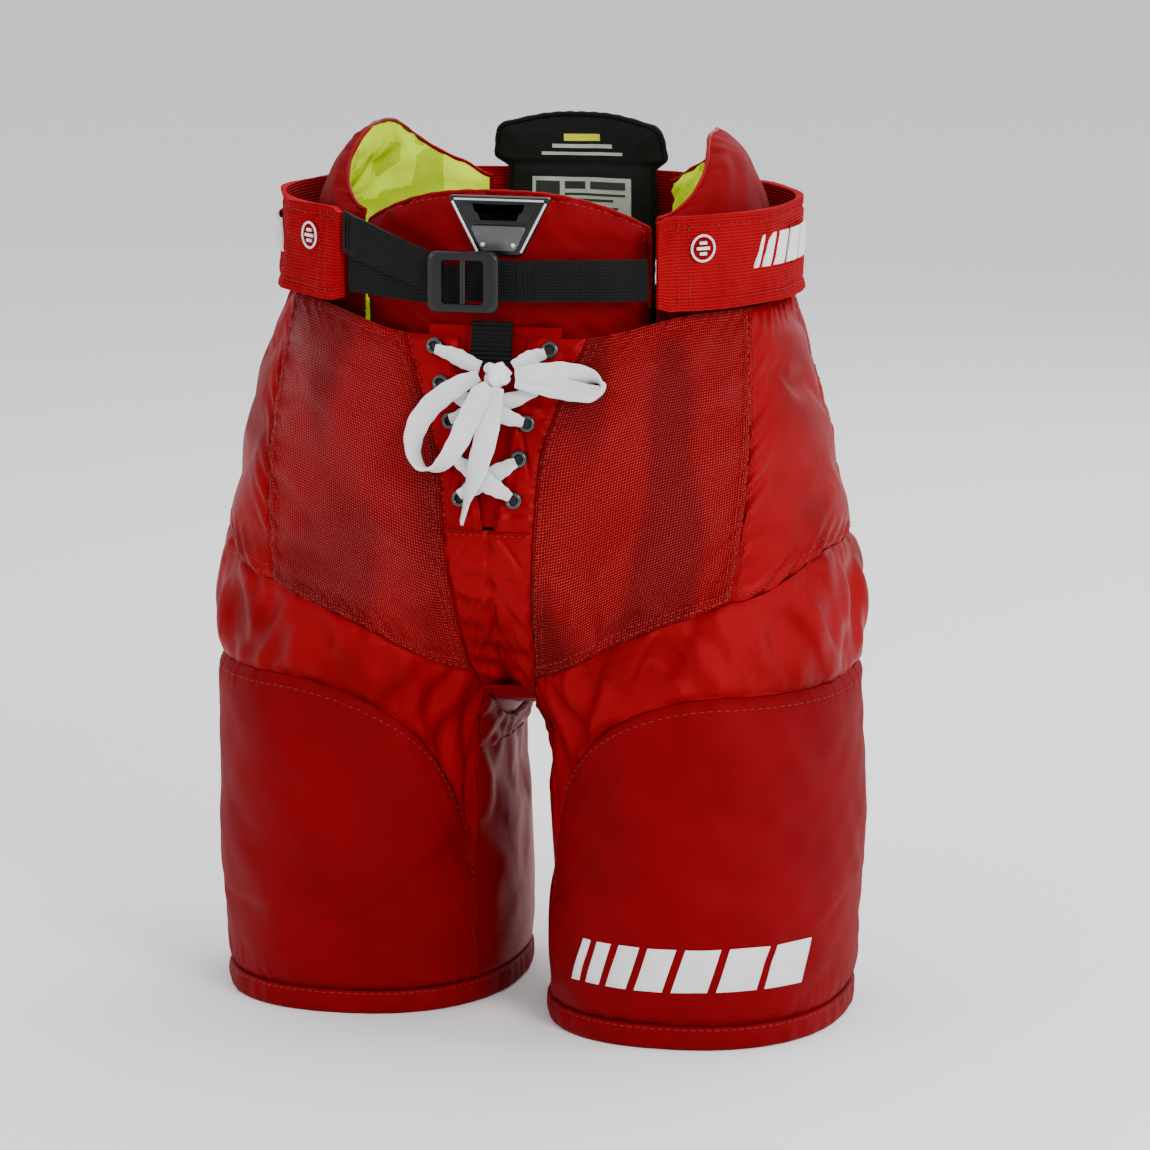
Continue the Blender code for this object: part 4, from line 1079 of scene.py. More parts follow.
def crotch_gusset():
    """A strip from the front gusset, under the crotch and up to the seat."""
    saddle = [(-0.0625, 0.1660), (-0.050, 0.1588), (-0.030, 0.1553), (0.0, 0.1540), (0.030, 0.1553),
              (0.056, 0.1600)]
    for z in (0.1680, 0.1770, SEAT_CENTRE + 0.0060):
        saddle.append((float(form(1, turn_at(1, 0.0098, z, front=False), z)[1]) - 0.0018, z))
    knots = np.array(saddle)
    run = np.concatenate([[0.0], np.cumsum(np.linalg.norm(np.diff(knots, axis=0), axis=1))])
    fine = np.linspace(0.0, run[-1], 120)
    line = np.stack([along(list(zip(run, knots[:, k])), fine) for k in (0, 1)], axis=1)
    half_width = 0.0135 + 0.0065 * smooth(0.155, 0.163, line[:, 1]) * smooth(-0.04, 0.04, line[:, 0])
    x = half_width[None, :] * (2 * steps(24)[:, None] - 1)
    y, z, x = np.broadcast_arrays(line[None, :, 0], line[None, :, 1], x)
    points = np.stack([x, y, z], axis=-1)
    slope = np.gradient(line, axis=0)
    slope /= np.linalg.norm(slope, axis=1)[:, None]
    under = np.stack([0 * slope[:, 0], slope[:, 1], -slope[:, 0]], axis=-1)[None]
    across, up = lengths(points)
    relief = 0.0005 * waves(131, across, up, 0.015) + seam_dip(border(points), 0.0008)
    surface = points + under * relief[..., None]
    piece = slab("crotch_gusset_cloth", surface, points - under * 0.0020, MATERIALS["shell"])
    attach(piece, "hips")
    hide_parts("crotch_gusset")


def tube_mesh(name, rings, material):
    """A closed tube through rings of points, capped at both ends."""
    count, sides = rings.shape[:2]
    verts = rings.reshape(-1, 3)
    i, k = np.arange(count - 1)[:, None], np.arange(sides)[None, :]
    a = (i * sides + k).ravel()
    b = (i * sides + (k + 1) % sides).ravel()
    faces = [tuple(f) for f in np.stack([a, b, b + sides, a + sides], axis=1)]
    faces.append(tuple(range(sides - 1, -1, -1)))
    faces.append(tuple(range((count - 1) * sides, count * sides)))
    centres = rings.mean(axis=1)
    run = np.concatenate([[0.0], np.cumsum(np.linalg.norm(np.diff(centres, axis=0), axis=1))])
    around = np.concatenate([[0.0], np.cumsum(np.linalg.norm(np.diff(rings[count // 2], axis=0), axis=1))])
    uv = np.stack(np.broadcast_arrays(run[:, None], around[None, :]), axis=-1).reshape(-1, 2)
    piece = add_mesh(name, verts, faces, material, uv)
    volume_check = bmesh.new()
    volume_check.from_mesh(piece.data)
    bmesh.ops.recalc_face_normals(volume_check, faces=volume_check.faces)
    volume_check.to_mesh(piece.data)
    volume_check.free()
    return piece


def inner_lining(side):
    """The dark lining inside the seat and the hips, which pockets the plastic guards."""
    heights = mix(0.2150, 0.3380, steps(40))
    centre_turns = np.maximum(turn_at(side, 0.0120, heights, front=False), -150.0)
    turns = mix(centre_turns[None, :], 62.0, steps(120)[:, None])
    points = form(side, turns, heights[None, :] + 0.0 * turns, 0.0100)
    across, up = lengths(points)
    out = outward(points, np.zeros(3))
    relief = -0.0006 - 0.0006 * drapes(151 + side, across, up, 0.030)
    surface = points + out * relief[..., None]
    piece = slab(side_name(side) + "_hip_lining", surface, surface - out * 0.0007, MATERIALS["inside"])
    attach(piece, "hips")


# ---------------------------------------------------------------- eyelets, keeper and lace

def eyelet(side, row, height, distance):
    """An enamelled grommet: a rolled flange, sunk a little into the facing, with a dark disc in its hole as
    painted shade.
    """
    turn = turn_at(side, distance, height)
    place = form(side, turn, height)
    around_it = form(side, turn + np.array([[-3.0, -3.0], [3.0, 3.0]]),
                     height + np.array([[-0.003, 0.003]] * 2))
    out = outward(around_it, np.zeros(3))[0, 0]
    normal = Vector(out)
    bm = bmesh.new()
    profile = ((0.0021, -0.0006), (0.0020, 0.0008), (0.0023, 0.0016), (0.0030, 0.0021), (0.0037, 0.0019),
               (0.0042, 0.0012), (0.0043, 0.0003), (0.0041, -0.0006))
    sides = 32
    rings = []
    for angle in 2 * math.pi * np.arange(sides) / sides:
        rings.append([bm.verts.new((r * math.cos(angle), r * math.sin(angle), h)) for r, h in profile])
    for a, b in zip(rings, rings[1:] + rings[:1]):
        for k in range(len(profile)):
            j = (k + 1) % len(profile)
            bm.faces.new((a[k], b[k], b[j], a[j]))
    bmesh.ops.recalc_face_normals(bm, faces=bm.faces)
    turned = normal.to_track_quat("Z", "Y").to_matrix().to_4x4()
    turned.translation = Vector(place) + normal * 0.0008
    bmesh.ops.transform(bm, matrix=turned, verts=bm.verts)
    name = f"{side_name(side)}_grommet_{row}"
    mesh = bpy.data.meshes.new(name)
    bm.to_mesh(mesh)
    bm.free()
    mesh.materials.append(MATERIALS["enamel"])
    mesh.shade_smooth()
    piece = placed(name, mesh)
    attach(piece, "hips")
    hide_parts(f"{side_name(side)}_eyelet_{row}")
    # Painted shade: a dark disc of the inner cloth fills the grommet's hole, where the cloth behind lies in
    # shade.
    dark = bpy.data.meshes.new(name + "_throat")
    bm = bmesh.new()
    bmesh.ops.create_cone(bm, cap_ends=True, segments=20, radius1=0.0021, radius2=0.0021, depth=0.0008)
    bmesh.ops.transform(bm, matrix=turned, verts=bm.verts)
    bm.to_mesh(dark)
    bm.free()
    dark.materials.append(MATERIALS["inside"])
    hole_shade = placed(name + "_throat", dark)
    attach(hole_shade, "hips")


def lace_keeper():
    """A webbing tab sewn to the tongue and turned down over the lace."""
    up = steps(60)[None, :]
    across = 2 * steps(30)[:, None] - 1
    z = mix(0.3325, 0.3530, up) + 0.0 * across
    x = 0.0100 * across + 0.0 * z
    points = across_front(x, z, -0.0012)
    bow = 0.0012 * np.sin(math.pi * up) + 0.0003 * (1 - across ** 2)
    piece, _, _ = cloth("lace_keeper_webbing", points, bow + 0.0 * across, 0.0013,
                        MATERIALS["webbing_across"], "hips", "lace_keeper")


LACE_WIDTH, LACE_THICKNESS = 0.0100, 0.0014
LACE_BOW = 0.0006
POINTS_PER_SPAN = 10
# Lace routes, as (x, height, distance out from the cloth), repeated from the part's source
LACE_ROUTES = {
    "lace_cross_low_a": ((0.0148, 0.2872, 0.0048), (0.0080, 0.2830, 0.0042), (0.0, 0.2780, 0.0042),
                         (-0.0070, 0.2735, 0.0040), (-0.0128, 0.2700, 0.0048)),
    "lace_cross_low_b": ((-0.0148, 0.2872, 0.0048), (-0.0080, 0.2830, 0.0052), (0.0, 0.2780, 0.0076),
                         (0.0070, 0.2735, 0.0058), (0.0128, 0.2700, 0.0048)),
    "lace_cross_mid_a": ((0.0238, 0.3215, 0.0048), (0.0120, 0.3165, 0.0042), (0.0, 0.3125, 0.0042),
                         (-0.0110, 0.3085, 0.0040), (-0.0183, 0.3062, 0.0048)),
    "lace_cross_mid_b": ((-0.0238, 0.3215, 0.0048), (-0.0120, 0.3165, 0.0052), (0.0, 0.3125, 0.0076),
                         (0.0110, 0.3085, 0.0058), (0.0183, 0.3062, 0.0048)),
    "lace_top_run_right": ((-0.0272, 0.3392, 0.0048), (-0.0190, 0.3372, 0.0050), (-0.0110, 0.3345, 0.0070),
                           (-0.0035, 0.3318, 0.0085)),
    "lace_top_run_left": ((0.0275, 0.3392, 0.0048), (0.0225, 0.3375, 0.0050), (0.0180, 0.3352, 0.0070),
                          (0.0135, 0.3325, 0.0085)),
    "lace_loop_right": ((-0.0035, 0.3285, 0.0100), (-0.0130, 0.3235, 0.0125), (-0.0245, 0.3150, 0.0130),
                        (-0.0325, 0.3040, 0.0125), (-0.0345, 0.2920, 0.0115), (-0.0300, 0.2835, 0.0110),
                        (-0.0215, 0.2845, 0.0120), (-0.0130, 0.2945, 0.0140), (-0.0065, 0.3080, 0.0150),
                        (-0.0010, 0.3200, 0.0145), (0.0030, 0.3245, 0.0135)),
    "lace_loop_left": ((0.0150, 0.3300, 0.0110), (0.0250, 0.3305, 0.0130), (0.0380, 0.3310, 0.0120),
                       (0.0500, 0.3290, 0.0100), (0.0560, 0.3250, 0.0090), (0.0500, 0.3215, 0.0085),
                       (0.0380, 0.3235, 0.0095), (0.0250, 0.3255, 0.0105), (0.0150, 0.3265, 0.0105)),
    "lace_long_tail": ((0.0065, 0.3235, 0.0115), (0.0045, 0.3150, 0.0128), (0.0020, 0.3000, 0.0130),
                       (-0.0020, 0.2850, 0.0125), (-0.0075, 0.2700, 0.0095), (-0.0110, 0.2580, 0.0060)),
}
KNOT_CENTRE = (0.0058, 0.3295, 0.0095)


def out_from_cloth(place):
    x, z, lift = place
    point = across_front(np.array([x]), np.array([z]), 0.0)[0]
    return Vector((point[0], point[1] - lift, point[2]))


def smooth_route(points, per_span):
    """Points along a Catmull-Rom curve through the route's own points."""
    ends = [points[0] * 2 - points[1], *points, points[-1] * 2 - points[-2]]
    route = []
    for a, b, c, d in zip(ends, ends[1:], ends[2:], ends[3:]):
        for k in range(per_span):
            t = k / per_span
            route.append(0.5 * (2 * b + (c - a) * t + (2 * a - 5 * b + 4 * c - d) * t * t
                                + (3 * b - a - 3 * c + d) * t ** 3))
    route.append(points[-1])
    return route


def ribbon(name, places, rolls, widths, node=None):
    """A flat lace along a route; rolls turn its face about the route, in degrees from facing front."""
    centre = smooth_route([out_from_cloth(place) for place in places], POINTS_PER_SPAN)
    share = np.linspace(0.0, 1.0, len(centre))
    roll = np.radians(np.interp(share, np.linspace(0, 1, len(rolls)), rolls))
    width = np.interp(share, np.linspace(0, 1, len(widths)), widths)
    outline = ((-1.0, 0.0), (-0.97, 0.35), (-0.88, 0.5), (-0.5, 0.5), (0.0, 0.5), (0.5, 0.5), (0.88, 0.5),
               (0.97, 0.35),
               (1.0, 0.0), (0.97, -0.35), (0.88, -0.5), (0.5, -0.5), (0.0, -0.5), (-0.5, -0.5), (-0.88, -0.5),
               (-0.97, -0.35))
    rings = []
    for k, point in enumerate(centre):
        ahead = (centre[min(k + 1, len(centre) - 1)] - centre[max(k - 1, 0)]).normalized()
        front = Vector((0.0, -1.0, 0.0))
        front = (front - ahead * front.dot(ahead)).normalized()
        beside = ahead.cross(front)
        face = front * math.cos(roll[k]) + beside * math.sin(roll[k])
        beside = ahead.cross(face)
        ripple = 0.00018 * math.sin(k * 0.9 + len(name))
        rings.append([point + beside * (s * width[k] / 2 + ripple)
                      + face * (h * LACE_THICKNESS + LACE_BOW * (1 - abs(s)) - LACE_BOW * 0.5)
                      for s, h in outline])
    piece = tube_mesh(name, np.array([[tuple(p) for p in ring] for ring in rings]), MATERIALS["cotton"])
    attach(piece, "hips")
    if node:
        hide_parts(node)
    return piece, [tuple(p) for p in centre]


def lace():
    """The flat white lace: crossed strands, the runs to the knot, two bow loops and the tails."""
    for level in ("low", "mid"):
        for strand, roll in (("a", 20), ("b", -20)):
            node = f"lace_cross_{level}_{strand}"
            ribbon(f"lace_strand_{level}_{strand}", LACE_ROUTES[node], (roll, 0, 0, 0, -roll),
                   (0.005, 0.008, LACE_WIDTH, 0.008, 0.005), node)
    for name, roll in (("right", 10), ("left", -10)):
        node = f"lace_top_run_{name}"
        ribbon(f"lace_run_to_knot_{name}", LACE_ROUTES[node], (roll, 0, 0), (0.005, 0.0085, 0.007), node)
    wide = LACE_WIDTH
    loops = (
        ("lace_bow_right", "lace_loop_right", (0, -10, -15, -25, -60, -90, -120, -160, -175, -180, -180),
         "object", (0.006, 0.0100, 0.0110, 0.0110, wide, wide, wide, wide, 0.0110, 0.0105, 0.006)),
        ("lace_bow_left", "lace_loop_left", (0, 10, 8, 30, 90, 150, 172, 170, 180), "object",
         (0.006, 0.0105, 0.0115, 0.0110, wide, 0.0110, 0.0115, wide, 0.006)),
        ("lace_tail", "lace_long_tail", (0, 0, 5, 20, 60, 75), "bare",
         (0.0065, 0.0105, 0.0120, 0.0115, wide, 0.0090)),
    )
    knot = lace_knot()
    for name, node, rolls, far_end, widths in loops:
        piece, path = ribbon(name, LACE_ROUTES[node], rolls, widths, node)


def lace_knot():
    """The overhand knot: three crossed turns of lace, drawn tight."""
    centre = out_from_cloth(KNOT_CENTRE)
    turns = (
        ((-0.0052, 0.0, 0.0012), (-0.0030, -0.0030, 0.0032), (0.0010, -0.0044, 0.0010),
         (0.0040, -0.0034, -0.0022), (0.0050, 0.0, -0.0030)),
        ((0.0030, 0.0, 0.0040), (0.0010, -0.0036, 0.0030), (-0.0004, -0.0052, 0.0),
         (0.0004, -0.0036, -0.0034), (0.0020, 0.0, -0.0044)),
        ((-0.0060, 0.0016, -0.0020), (-0.0024, -0.0016, -0.0028), (0.0020, -0.0012, -0.0010),
         (0.0058, 0.0, 0.0024)),
    )
    bm = bmesh.new()
    for route in turns:
        points = smooth_route([centre + Vector(p) for p in route], 8)
        rings = []
        for k, point in enumerate(points):
            ahead = (points[min(k + 1, len(points) - 1)] - points[max(k - 1, 0)]).normalized()
            face = (Vector((0.0, -1.0, 0.0)) - ahead * ahead.dot(Vector((0.0, -1.0, 0.0)))).normalized()
            if face.length < 0.5:
                face = Vector((0.0, 0.0, 1.0))
            beside = ahead.cross(face)
            pinch = 0.75 + 0.25 * math.sin(math.pi * k / (len(points) - 1))
            ring = []
            for j in range(14):
                angle = 2 * math.pi * j / 14
                ring.append(bm.verts.new(point + beside * math.cos(angle) * 0.0030 * pinch
                                         + face * math.sin(angle) * 0.0016 * pinch))
            rings.append(ring)
        for a, b in zip(rings, rings[1:]):
            for j in range(14):
                bm.faces.new((a[j], a[(j + 1) % 14], b[(j + 1) % 14], b[j]))
        bm.faces.new(rings[0][::-1])
        bm.faces.new(rings[-1])
    bmesh.ops.recalc_face_normals(bm, faces=bm.faces)
    mesh = bpy.data.meshes.new("lace_knot_turns")
    bm.to_mesh(mesh)
    bm.free()
    mesh.materials.append(MATERIALS["cotton"])
    mesh.shade_smooth()
    knot = placed("lace_knot_turns", mesh)
    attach(knot, "hips")
    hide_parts("lace_knot")
    return knot


# ---------------------------------------------------------------- girdle

STRAP_HALF_WIDTH = 0.0100
BUCKLE_CENTRE = Vector((-0.0120, -0.1012, 0.3730))
BUCKLE_HALF, WINDOW_HALF, BUCKLE_HALF_DEPTH = (0.0175, 0.01475), (0.0100, 0.0105), 0.0020
BADGE_X = 0.0035
RIVET_RADIUS, RIVET_PLACE = 0.0012, (0.0075, -0.0947, 0.3905)
WING_LOW, WING_HIGH, WING_FRONT, WING_BACK = 0.3585, 0.4040, 44.0, 179.4


def pillow(name, middle, out, half, edge, outer_relief, inner_relief, materials, node, slots):
    """A quilted pad: an outer cover and a lining that swell from a shared seam line."""
    swell = half * (1 - np.exp(-(edge / 0.0055) ** 1.2)) + 0.0004
    front = middle + out * (swell + outer_relief)[..., None]
    back = middle - out * (swell + inner_relief)[..., None]
    front = front + blown(front, out, 4.0, 0.008, 0.0030)
    back = back + blown(back, -out, 4.0, 0.008, 0.0025)
    cover = slab(name + "_cover", front, middle + out * 0.0001, materials[0])
    liner = slab(name + "_lining", back, middle - out * 0.0001, materials[1])
    for piece, slot_name in zip((cover, liner), slots):
        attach(piece, "girdle")
    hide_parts(node)
    return front, back


def edge_piping(name, path, radius, material, body):
    """A stuffed cord in cloth that runs along a pad's edge."""
    path = np.asarray(path)
    ahead = np.gradient(path, axis=0)
    ahead /= np.maximum(np.linalg.norm(ahead, axis=1, keepdims=True), 1e-9)
    beside = np.cross(ahead, np.array([0.0, 0.0, 1.0]) + 0.001)
    beside /= np.maximum(np.linalg.norm(beside, axis=1, keepdims=True), 1e-9)
    over = np.cross(ahead, beside)
    angles = 2 * math.pi * np.arange(10) / 10
    thick = radius * (1 + 0.10 * np.sin(np.arange(len(path)) * 0.7))
    rings = (path[:, None] + thick[:, None, None] * (np.cos(angles)[None, :, None] * beside[:, None]
                                                     + np.sin(angles)[None, :, None] * over[:, None]))
    piece = tube_mesh(name, rings, material)
    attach(piece, body)


def kidney_pad(side):
    """A side pad with a red cover outside and the bright lining inside."""
    name = side_name(side) + "_kidney"
    angles = mix(49.0, 149.0, steps(110))[:, None]
    top = 0.400 + 0.035 * smooth(47.0, 88.0, angles) - 0.031 * smooth(100.0, 152.0, angles)
    top = top - 0.004 * smooth(140.0, 149.0, angles)
    heights = mix(0.3050, top, steps(120)[None, :])
    middle = girdle_form(side * angles, heights, 0.0045)
    out = outward(middle, np.array((0.0, GIRDLE_CENTRE_Y, 0.0)))
    across, up = lengths(middle)
    edge = border(middle)
    calm = smooth(0.0, 0.02, edge)
    outer = 0.0010 * drapes(201 + side, across, up * 0.7, 0.048)
    outer = (outer + 0.0004 * waves(202 + side, across, up, 0.02)) * calm
    outer = outer + pucker(203 + side, across + up, edge, 0.0004)
    inner = 0.0009 * drapes(205 + side, across * 0.8, up * 0.6, 0.040)
    inner = (inner + 0.0003 * waves(206, across, up, 0.015)) * calm
    inner = inner + pucker(207 + side, across + up, edge, 0.0004)
    pillow(name, middle, out, 0.0040, edge, outer, inner, (MATERIALS["pad"], MATERIALS["lining"]),
           side_name(side) + "_kidney_pad", ("red_nylon", "neon_lining"))
    rim = np.concatenate([middle[0, 20:], middle[1:, -1], middle[-1, 20:-1][::-1]])
    edge_piping(name + "_piping", rim, 0.0011, MATERIALS["shell"], "girdle")


def belly_pad():
    across_share = 2 * steps(130)[:, None] - 1
    top = 0.3960 + 0.0180 * (1 - np.abs(across_share) ** 2.6)
    heights = mix(0.3260, top, steps(110)[None, :])
    middle = girdle_form(46.0 * across_share, heights, 0.0045)
    out = outward(middle, np.array((0.0, GIRDLE_CENTRE_Y, 0.0)))
    across, up = lengths(middle)
    edge = border(middle)
    calm = smooth(0.0, 0.018, edge)
    soft = (0.0009 * drapes(221, across * 0.8, up, 0.050) + 0.0004 * waves(222, across, up, 0.018)) * calm
    under_belt = 0.0010 * folds(223, across + 0.5 * up, up, 0.018) * smooth(0.392, 0.372, heights) * calm
    front, _ = pillow("belly", middle, out, 0.0050, edge,
                      soft + under_belt + pucker(224, across, edge, 0.0005),
                      0.3 * soft, (MATERIALS["pad"], MATERIALS["lining"]), "belly_pad",
                      ("red_nylon", "neon_lining"))
    seam = np.concatenate([front[3, 60:-3], front[3:-3, -4], front[-4, 60:-3][::-1]])
    lift = np.concatenate([out[3, 60:-3], out[3:-3, -4], out[-4, 60:-3][::-1]])
    stitches("belly_stitching", seam, lift, MATERIALS["thread"], "girdle", pitch=0.0038)
    edge_piping("belly_piping", np.concatenate([middle[0, 50:], middle[1:, -1], middle[-1, 50:-1][::-1]]),
                0.0012, MATERIALS["shell"], "girdle")


def spine_pad():
    """The back pad in black knit; a taped edge follows the outline of its head."""
    up = steps(150)[None, :]
    share = 2 * steps(90)[:, None] - 1
    top = 0.4330 - 0.0055 * np.abs(share) ** 3
    z = mix(0.3050, top, up)
    angles = 180.0 - np.degrees(np.arcsin(spine_half_width(z) * share / 0.0965))
    middle = girdle_form(angles, z, 0.0050)
    out = outward(middle, np.array((0.0, GIRDLE_CENTRE_Y, 0.0)))
    across, up = lengths(middle)
    edge = border(middle)
    calm = smooth(0.0, 0.012, edge)
    neck = -0.0012 * np.exp(-((z - 0.4075) / 0.0022) ** 2)
    soft = 0.0006 * drapes(241, across, up, 0.045) * calm
    _, face = pillow("spine", middle, out, 0.0046, edge, soft + neck, soft + neck,
                     (MATERIALS["knit"], MATERIALS["knit"]),
           "spine_pad", ("black_knit", "black_knit"))
    rim = np.concatenate([middle[0, 40:], middle[1:, -1], middle[-1, 40:-1][::-1]])
    edge_piping("spine_tape", rim, 0.0014, MATERIALS["webbing"], "girdle")
    spine_mark(face, -out)
    size_label(face, -out)


def spine_half_width(z):
    return mix(0.0400, 0.0475, smooth(0.405, 0.412, z)) - 0.010 * smooth(0.424, 0.434, z)


def patch_inside(name, box, lift, face, inner, material):
    """A flat printed or sewn patch on the spine pad's inner face; box holds its left, right, low and high."""
    left, right, low, high = box
    x, z = np.broadcast_arrays(mix(left, right, steps(30))[:, None], mix(low, high, steps(16))[None, :])
    columns, rows = face.shape[0] - 1, face.shape[1] - 1
    share = x / spine_half_width(z)
    top = 0.4330 - 0.0055 * np.abs(share) ** 3
    column, row = columns * (share + 1) / 2, rows * (z - 0.3050) / (top - 0.3050)
    points, inward = sampled(face, column, row), sampled(inner, column, row)
    piece = slab(name, points + inward * lift, points - inward * 0.0006, material)
    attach(piece, "girdle")
    return piece


def spine_mark(face, inner):
    """Plain printed bars on the head of the spine pad, facing inside."""
    for name, box, material in (("yellow", (-0.011, 0.011, 0.4210, 0.4245), "print_yellow"),
                                ("grey_upper", (-0.018, 0.018, 0.4170, 0.4190), "print_grey"),
                                ("grey_lower", (-0.024, 0.024, 0.4130, 0.4146), "print_grey")):
        patch_inside("spine_mark_" + name, box, 0.0004, face, inner, MATERIALS[material])


def size_label(face, inner):
    """The sewn label, with plain printed blocks and lines in place of words."""
    label = patch_inside("label_cloth_sewn", (-0.029, 0.029, 0.3780, 0.4010), 0.0007, face, inner,
                         MATERIALS["label"])
    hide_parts("size_label")
    blocks = [(-0.027, -0.013, 0.3880, 0.3990), (-0.010, 0.002, 0.3950, 0.3990),
              (0.005, 0.026, 0.3950, 0.3990)]
    blocks += [(-0.010, 0.026 - 0.007 * row, 0.3915 - 0.0030 * row, 0.3927 - 0.0030 * row)
               for row in range(2)]
    blocks += [(-0.027, 0.022 - 0.009 * row, 0.3845 - 0.0026 * row, 0.3856 - 0.0026 * row)
               for row in range(2)]
    for number, box in enumerate(blocks):
        patch_inside(f"label_block_{number + 1}", box, 0.0010, face, inner, MATERIALS["label_dark"])


def belt_wing(side):
    """The wide ribbed elastic that wraps the girdle, turned under and double-stitched at its edges."""
    angles = mix(WING_FRONT, WING_BACK, steps(240))[:, None]
    share = steps(56)[None, :]
    end = smooth(WING_FRONT + 3.0, WING_FRONT, angles)
    low = WING_LOW + 0.0016 * end
    heights = mix(low, WING_HIGH - 0.0024 * end, share)
    points = belt_form(side * angles, heights)
    across, up = lengths(points)
    edge = border(points)
    roll = 0.0007 * np.exp(-(edge / 0.0030) ** 2) - 0.0006 * np.exp(-((edge - 0.0052) / 0.0010) ** 2)
    sway = 0.0012 * waves(261 + side, across, up * 0.6, 0.060, 5) * smooth(0.0, 0.02, border(points, "lr"))
    ruck = 0.0006 * folds(263 + side, across, up, 0.012) * smooth(0.030, 0.005, border(points, "l"))
    relief = roll + sway + ruck + 0.0002 * waves(265 + side, across, up, 0.010)
    piece, surface, normal = cloth(side_name(side) + "_wing_elastic", points, relief, 0.0026,
                                   MATERIALS["elastic"],
                                   "girdle", side_name(side) + "_belt_wing", (0.0, WING_CENTRE_Y, 0.0))
    rows = edge_rows(surface, normal, "bt", (6,)) + edge_rows(surface, normal, "l", (9, 14))
    for number, (path, lift) in enumerate(rows):
        stitches(f"{side_name(side)}_wing_stitching_{number + 1}", path, lift, MATERIALS["thread"], "girdle",
                 pitch=0.0036)
    return surface, normal


WING_MARK_ANGLE, WING_MARK_RADIUS = 64.0, 0.118
WING_PATCH_ANGLE, WING_PATCH_HEIGHT = 55.0, 0.3885
WING_MARK_LIFT = 0.0016


def wing_mark(side):
    """Slanted white bars and a small ringed patch on a wing, in place of lettering."""
    name = side_name(side)

    def surface_at(u, v):
        angles = side * (WING_MARK_ANGLE + np.degrees(u / WING_MARK_RADIUS))
        points = belt_form(angles, v)
        return points, outward(points, np.array((0.0, WING_CENTRE_Y, 0.0)))
    slanted_bars(name + "_wing_mark_bar", lambda u, v: lifted(surface_at(u, v), WING_MARK_LIFT), 5, 0.0100,
                 0.0080, 0.0028, 0.3765, 0.3925, 0.0045, MATERIALS["ink"], "girdle")
    centre_angle, centre_height = side * WING_PATCH_ANGLE, WING_PATCH_HEIGHT
    centre = belt_form(centre_angle, centre_height)
    around = belt_form(centre_angle + np.array([[-1.0, -1.0], [1.0, 1.0]]),
                       centre_height + np.array([[-0.001, 0.001]] * 2))
    out = Vector(outward(around, np.array((0.0, WING_CENTRE_Y, 0.0)))[0, 0])
    across = Vector((0.0, 0.0, 1.0)).cross(out).normalized()
    origin = Vector(centre) + out * WING_MARK_LIFT
    rings = []
    for angle in 2 * math.pi * np.arange(41) / 40:
        spoke = across * math.cos(angle) + Vector((0, 0, 1)) * math.sin(angle)
        rings.append([tuple(origin + spoke * (0.0062 + 0.0006 * math.cos(a)) + out * 0.0005 * math.sin(a))
                      for a in 2 * math.pi * np.arange(8) / 8])
    ring = tube_mesh(name + "_wing_patch_ring", np.array(rings[:-1] + [rings[0]]), MATERIALS["ink"])
    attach(ring, "girdle")
    for number in range(3):
        half = (0.0018, 0.0034, 0.0018)[number]
        height = 0.0026 * (number - 1)
        bar = [tuple(origin + across * x * half + Vector((0, 0, 1)) * (height + z * 0.0007)
                     + out * o * 0.0005)
               for o in (-1, 1) for x, z in ((-1, -1), (1, -1), (1, 1), (-1, 1))]
        faces = [(3, 2, 1, 0), (4, 5, 6, 7), (0, 1, 5, 4), (1, 2, 6, 5), (2, 3, 7, 6), (3, 0, 4, 7)]
        piece = add_mesh(f"{name}_wing_patch_bar_{number + 1}", bar, faces, MATERIALS["ink"],
                         [(0.0, 0.0)] * 8)
        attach(piece, "girdle")


def strap_line(x):
    return -0.0790 - 0.0165 * (1 - (x / 0.080) ** 2)


def strap(name, node, x_start, x_end, z_start, z_end, layer, seed):
    """A length of belt webbing that lies along the front of the belly pad."""
    share = steps(90)[:, None]
    x = mix(x_start, x_end, share)
    z = mix(z_start, z_end, share) + STRAP_HALF_WIDTH * (2 * steps(20)[None, :] - 1)
    y = strap_line(x) - layer + 0.0 * z
    points = np.stack(np.broadcast_arrays(x, y, z), axis=-1)
    across, up = lengths(points)
    bow = 0.0005 * waves(seed, across, up * 0.4, 0.028) + 0.0006 * np.sin(math.pi * up / up[-1, -1])
    piece, surface, normal = cloth(name, points, bow, 0.0015, MATERIALS["webbing"], "girdle", node)
    return surface, normal


def straps():
    surface, normal = strap("belt_webbing_left", "left_belt_strap", -0.0115, 0.0745, 0.3730, 0.3740, 0.0, 271)
    strap("belt_webbing_right", "right_belt_strap", -0.0125, -0.0745, 0.3695, 0.3735, 0.0, 272)
    tail_surface, tail_normal = strap("belt_webbing_tail", "belt_strap_tail", -0.0310, -0.0772, 0.3765,
                                      0.3930, 0.0024, 273)
    for column in (26, 30, 34):
        stitches(f"belt_bartack_{column}", surface[column, 2:-2], normal[column, 2:-2], MATERIALS["webbing"],
                 "girdle", pitch=0.0016, length=0.0014, radius=0.00045)
    for column in (-4, -8):
        stitches(f"tail_bartack_{-column}", tail_surface[column, 2:-2], tail_normal[column, 2:-2],
                 MATERIALS["webbing"], "girdle", pitch=0.0016, length=0.0014, radius=0.00045)


def rounded_outline(half_width, half_height, radius, count=12):
    """Points round a rectangle with round corners, anticlockwise from the right."""
    corners = ((1, 1, 0.0), (-1, 1, 90.0), (-1, -1, 180.0), (1, -1, 270.0))
    outline = []
    for sx, sz, first in corners:
        for angle in np.radians(first + 90.0 * steps(count)):
            outline.append((sx * (half_width - radius) + radius * math.cos(angle),
                            sz * (half_height - radius) + radius * math.sin(angle)))
    return np.array(outline)


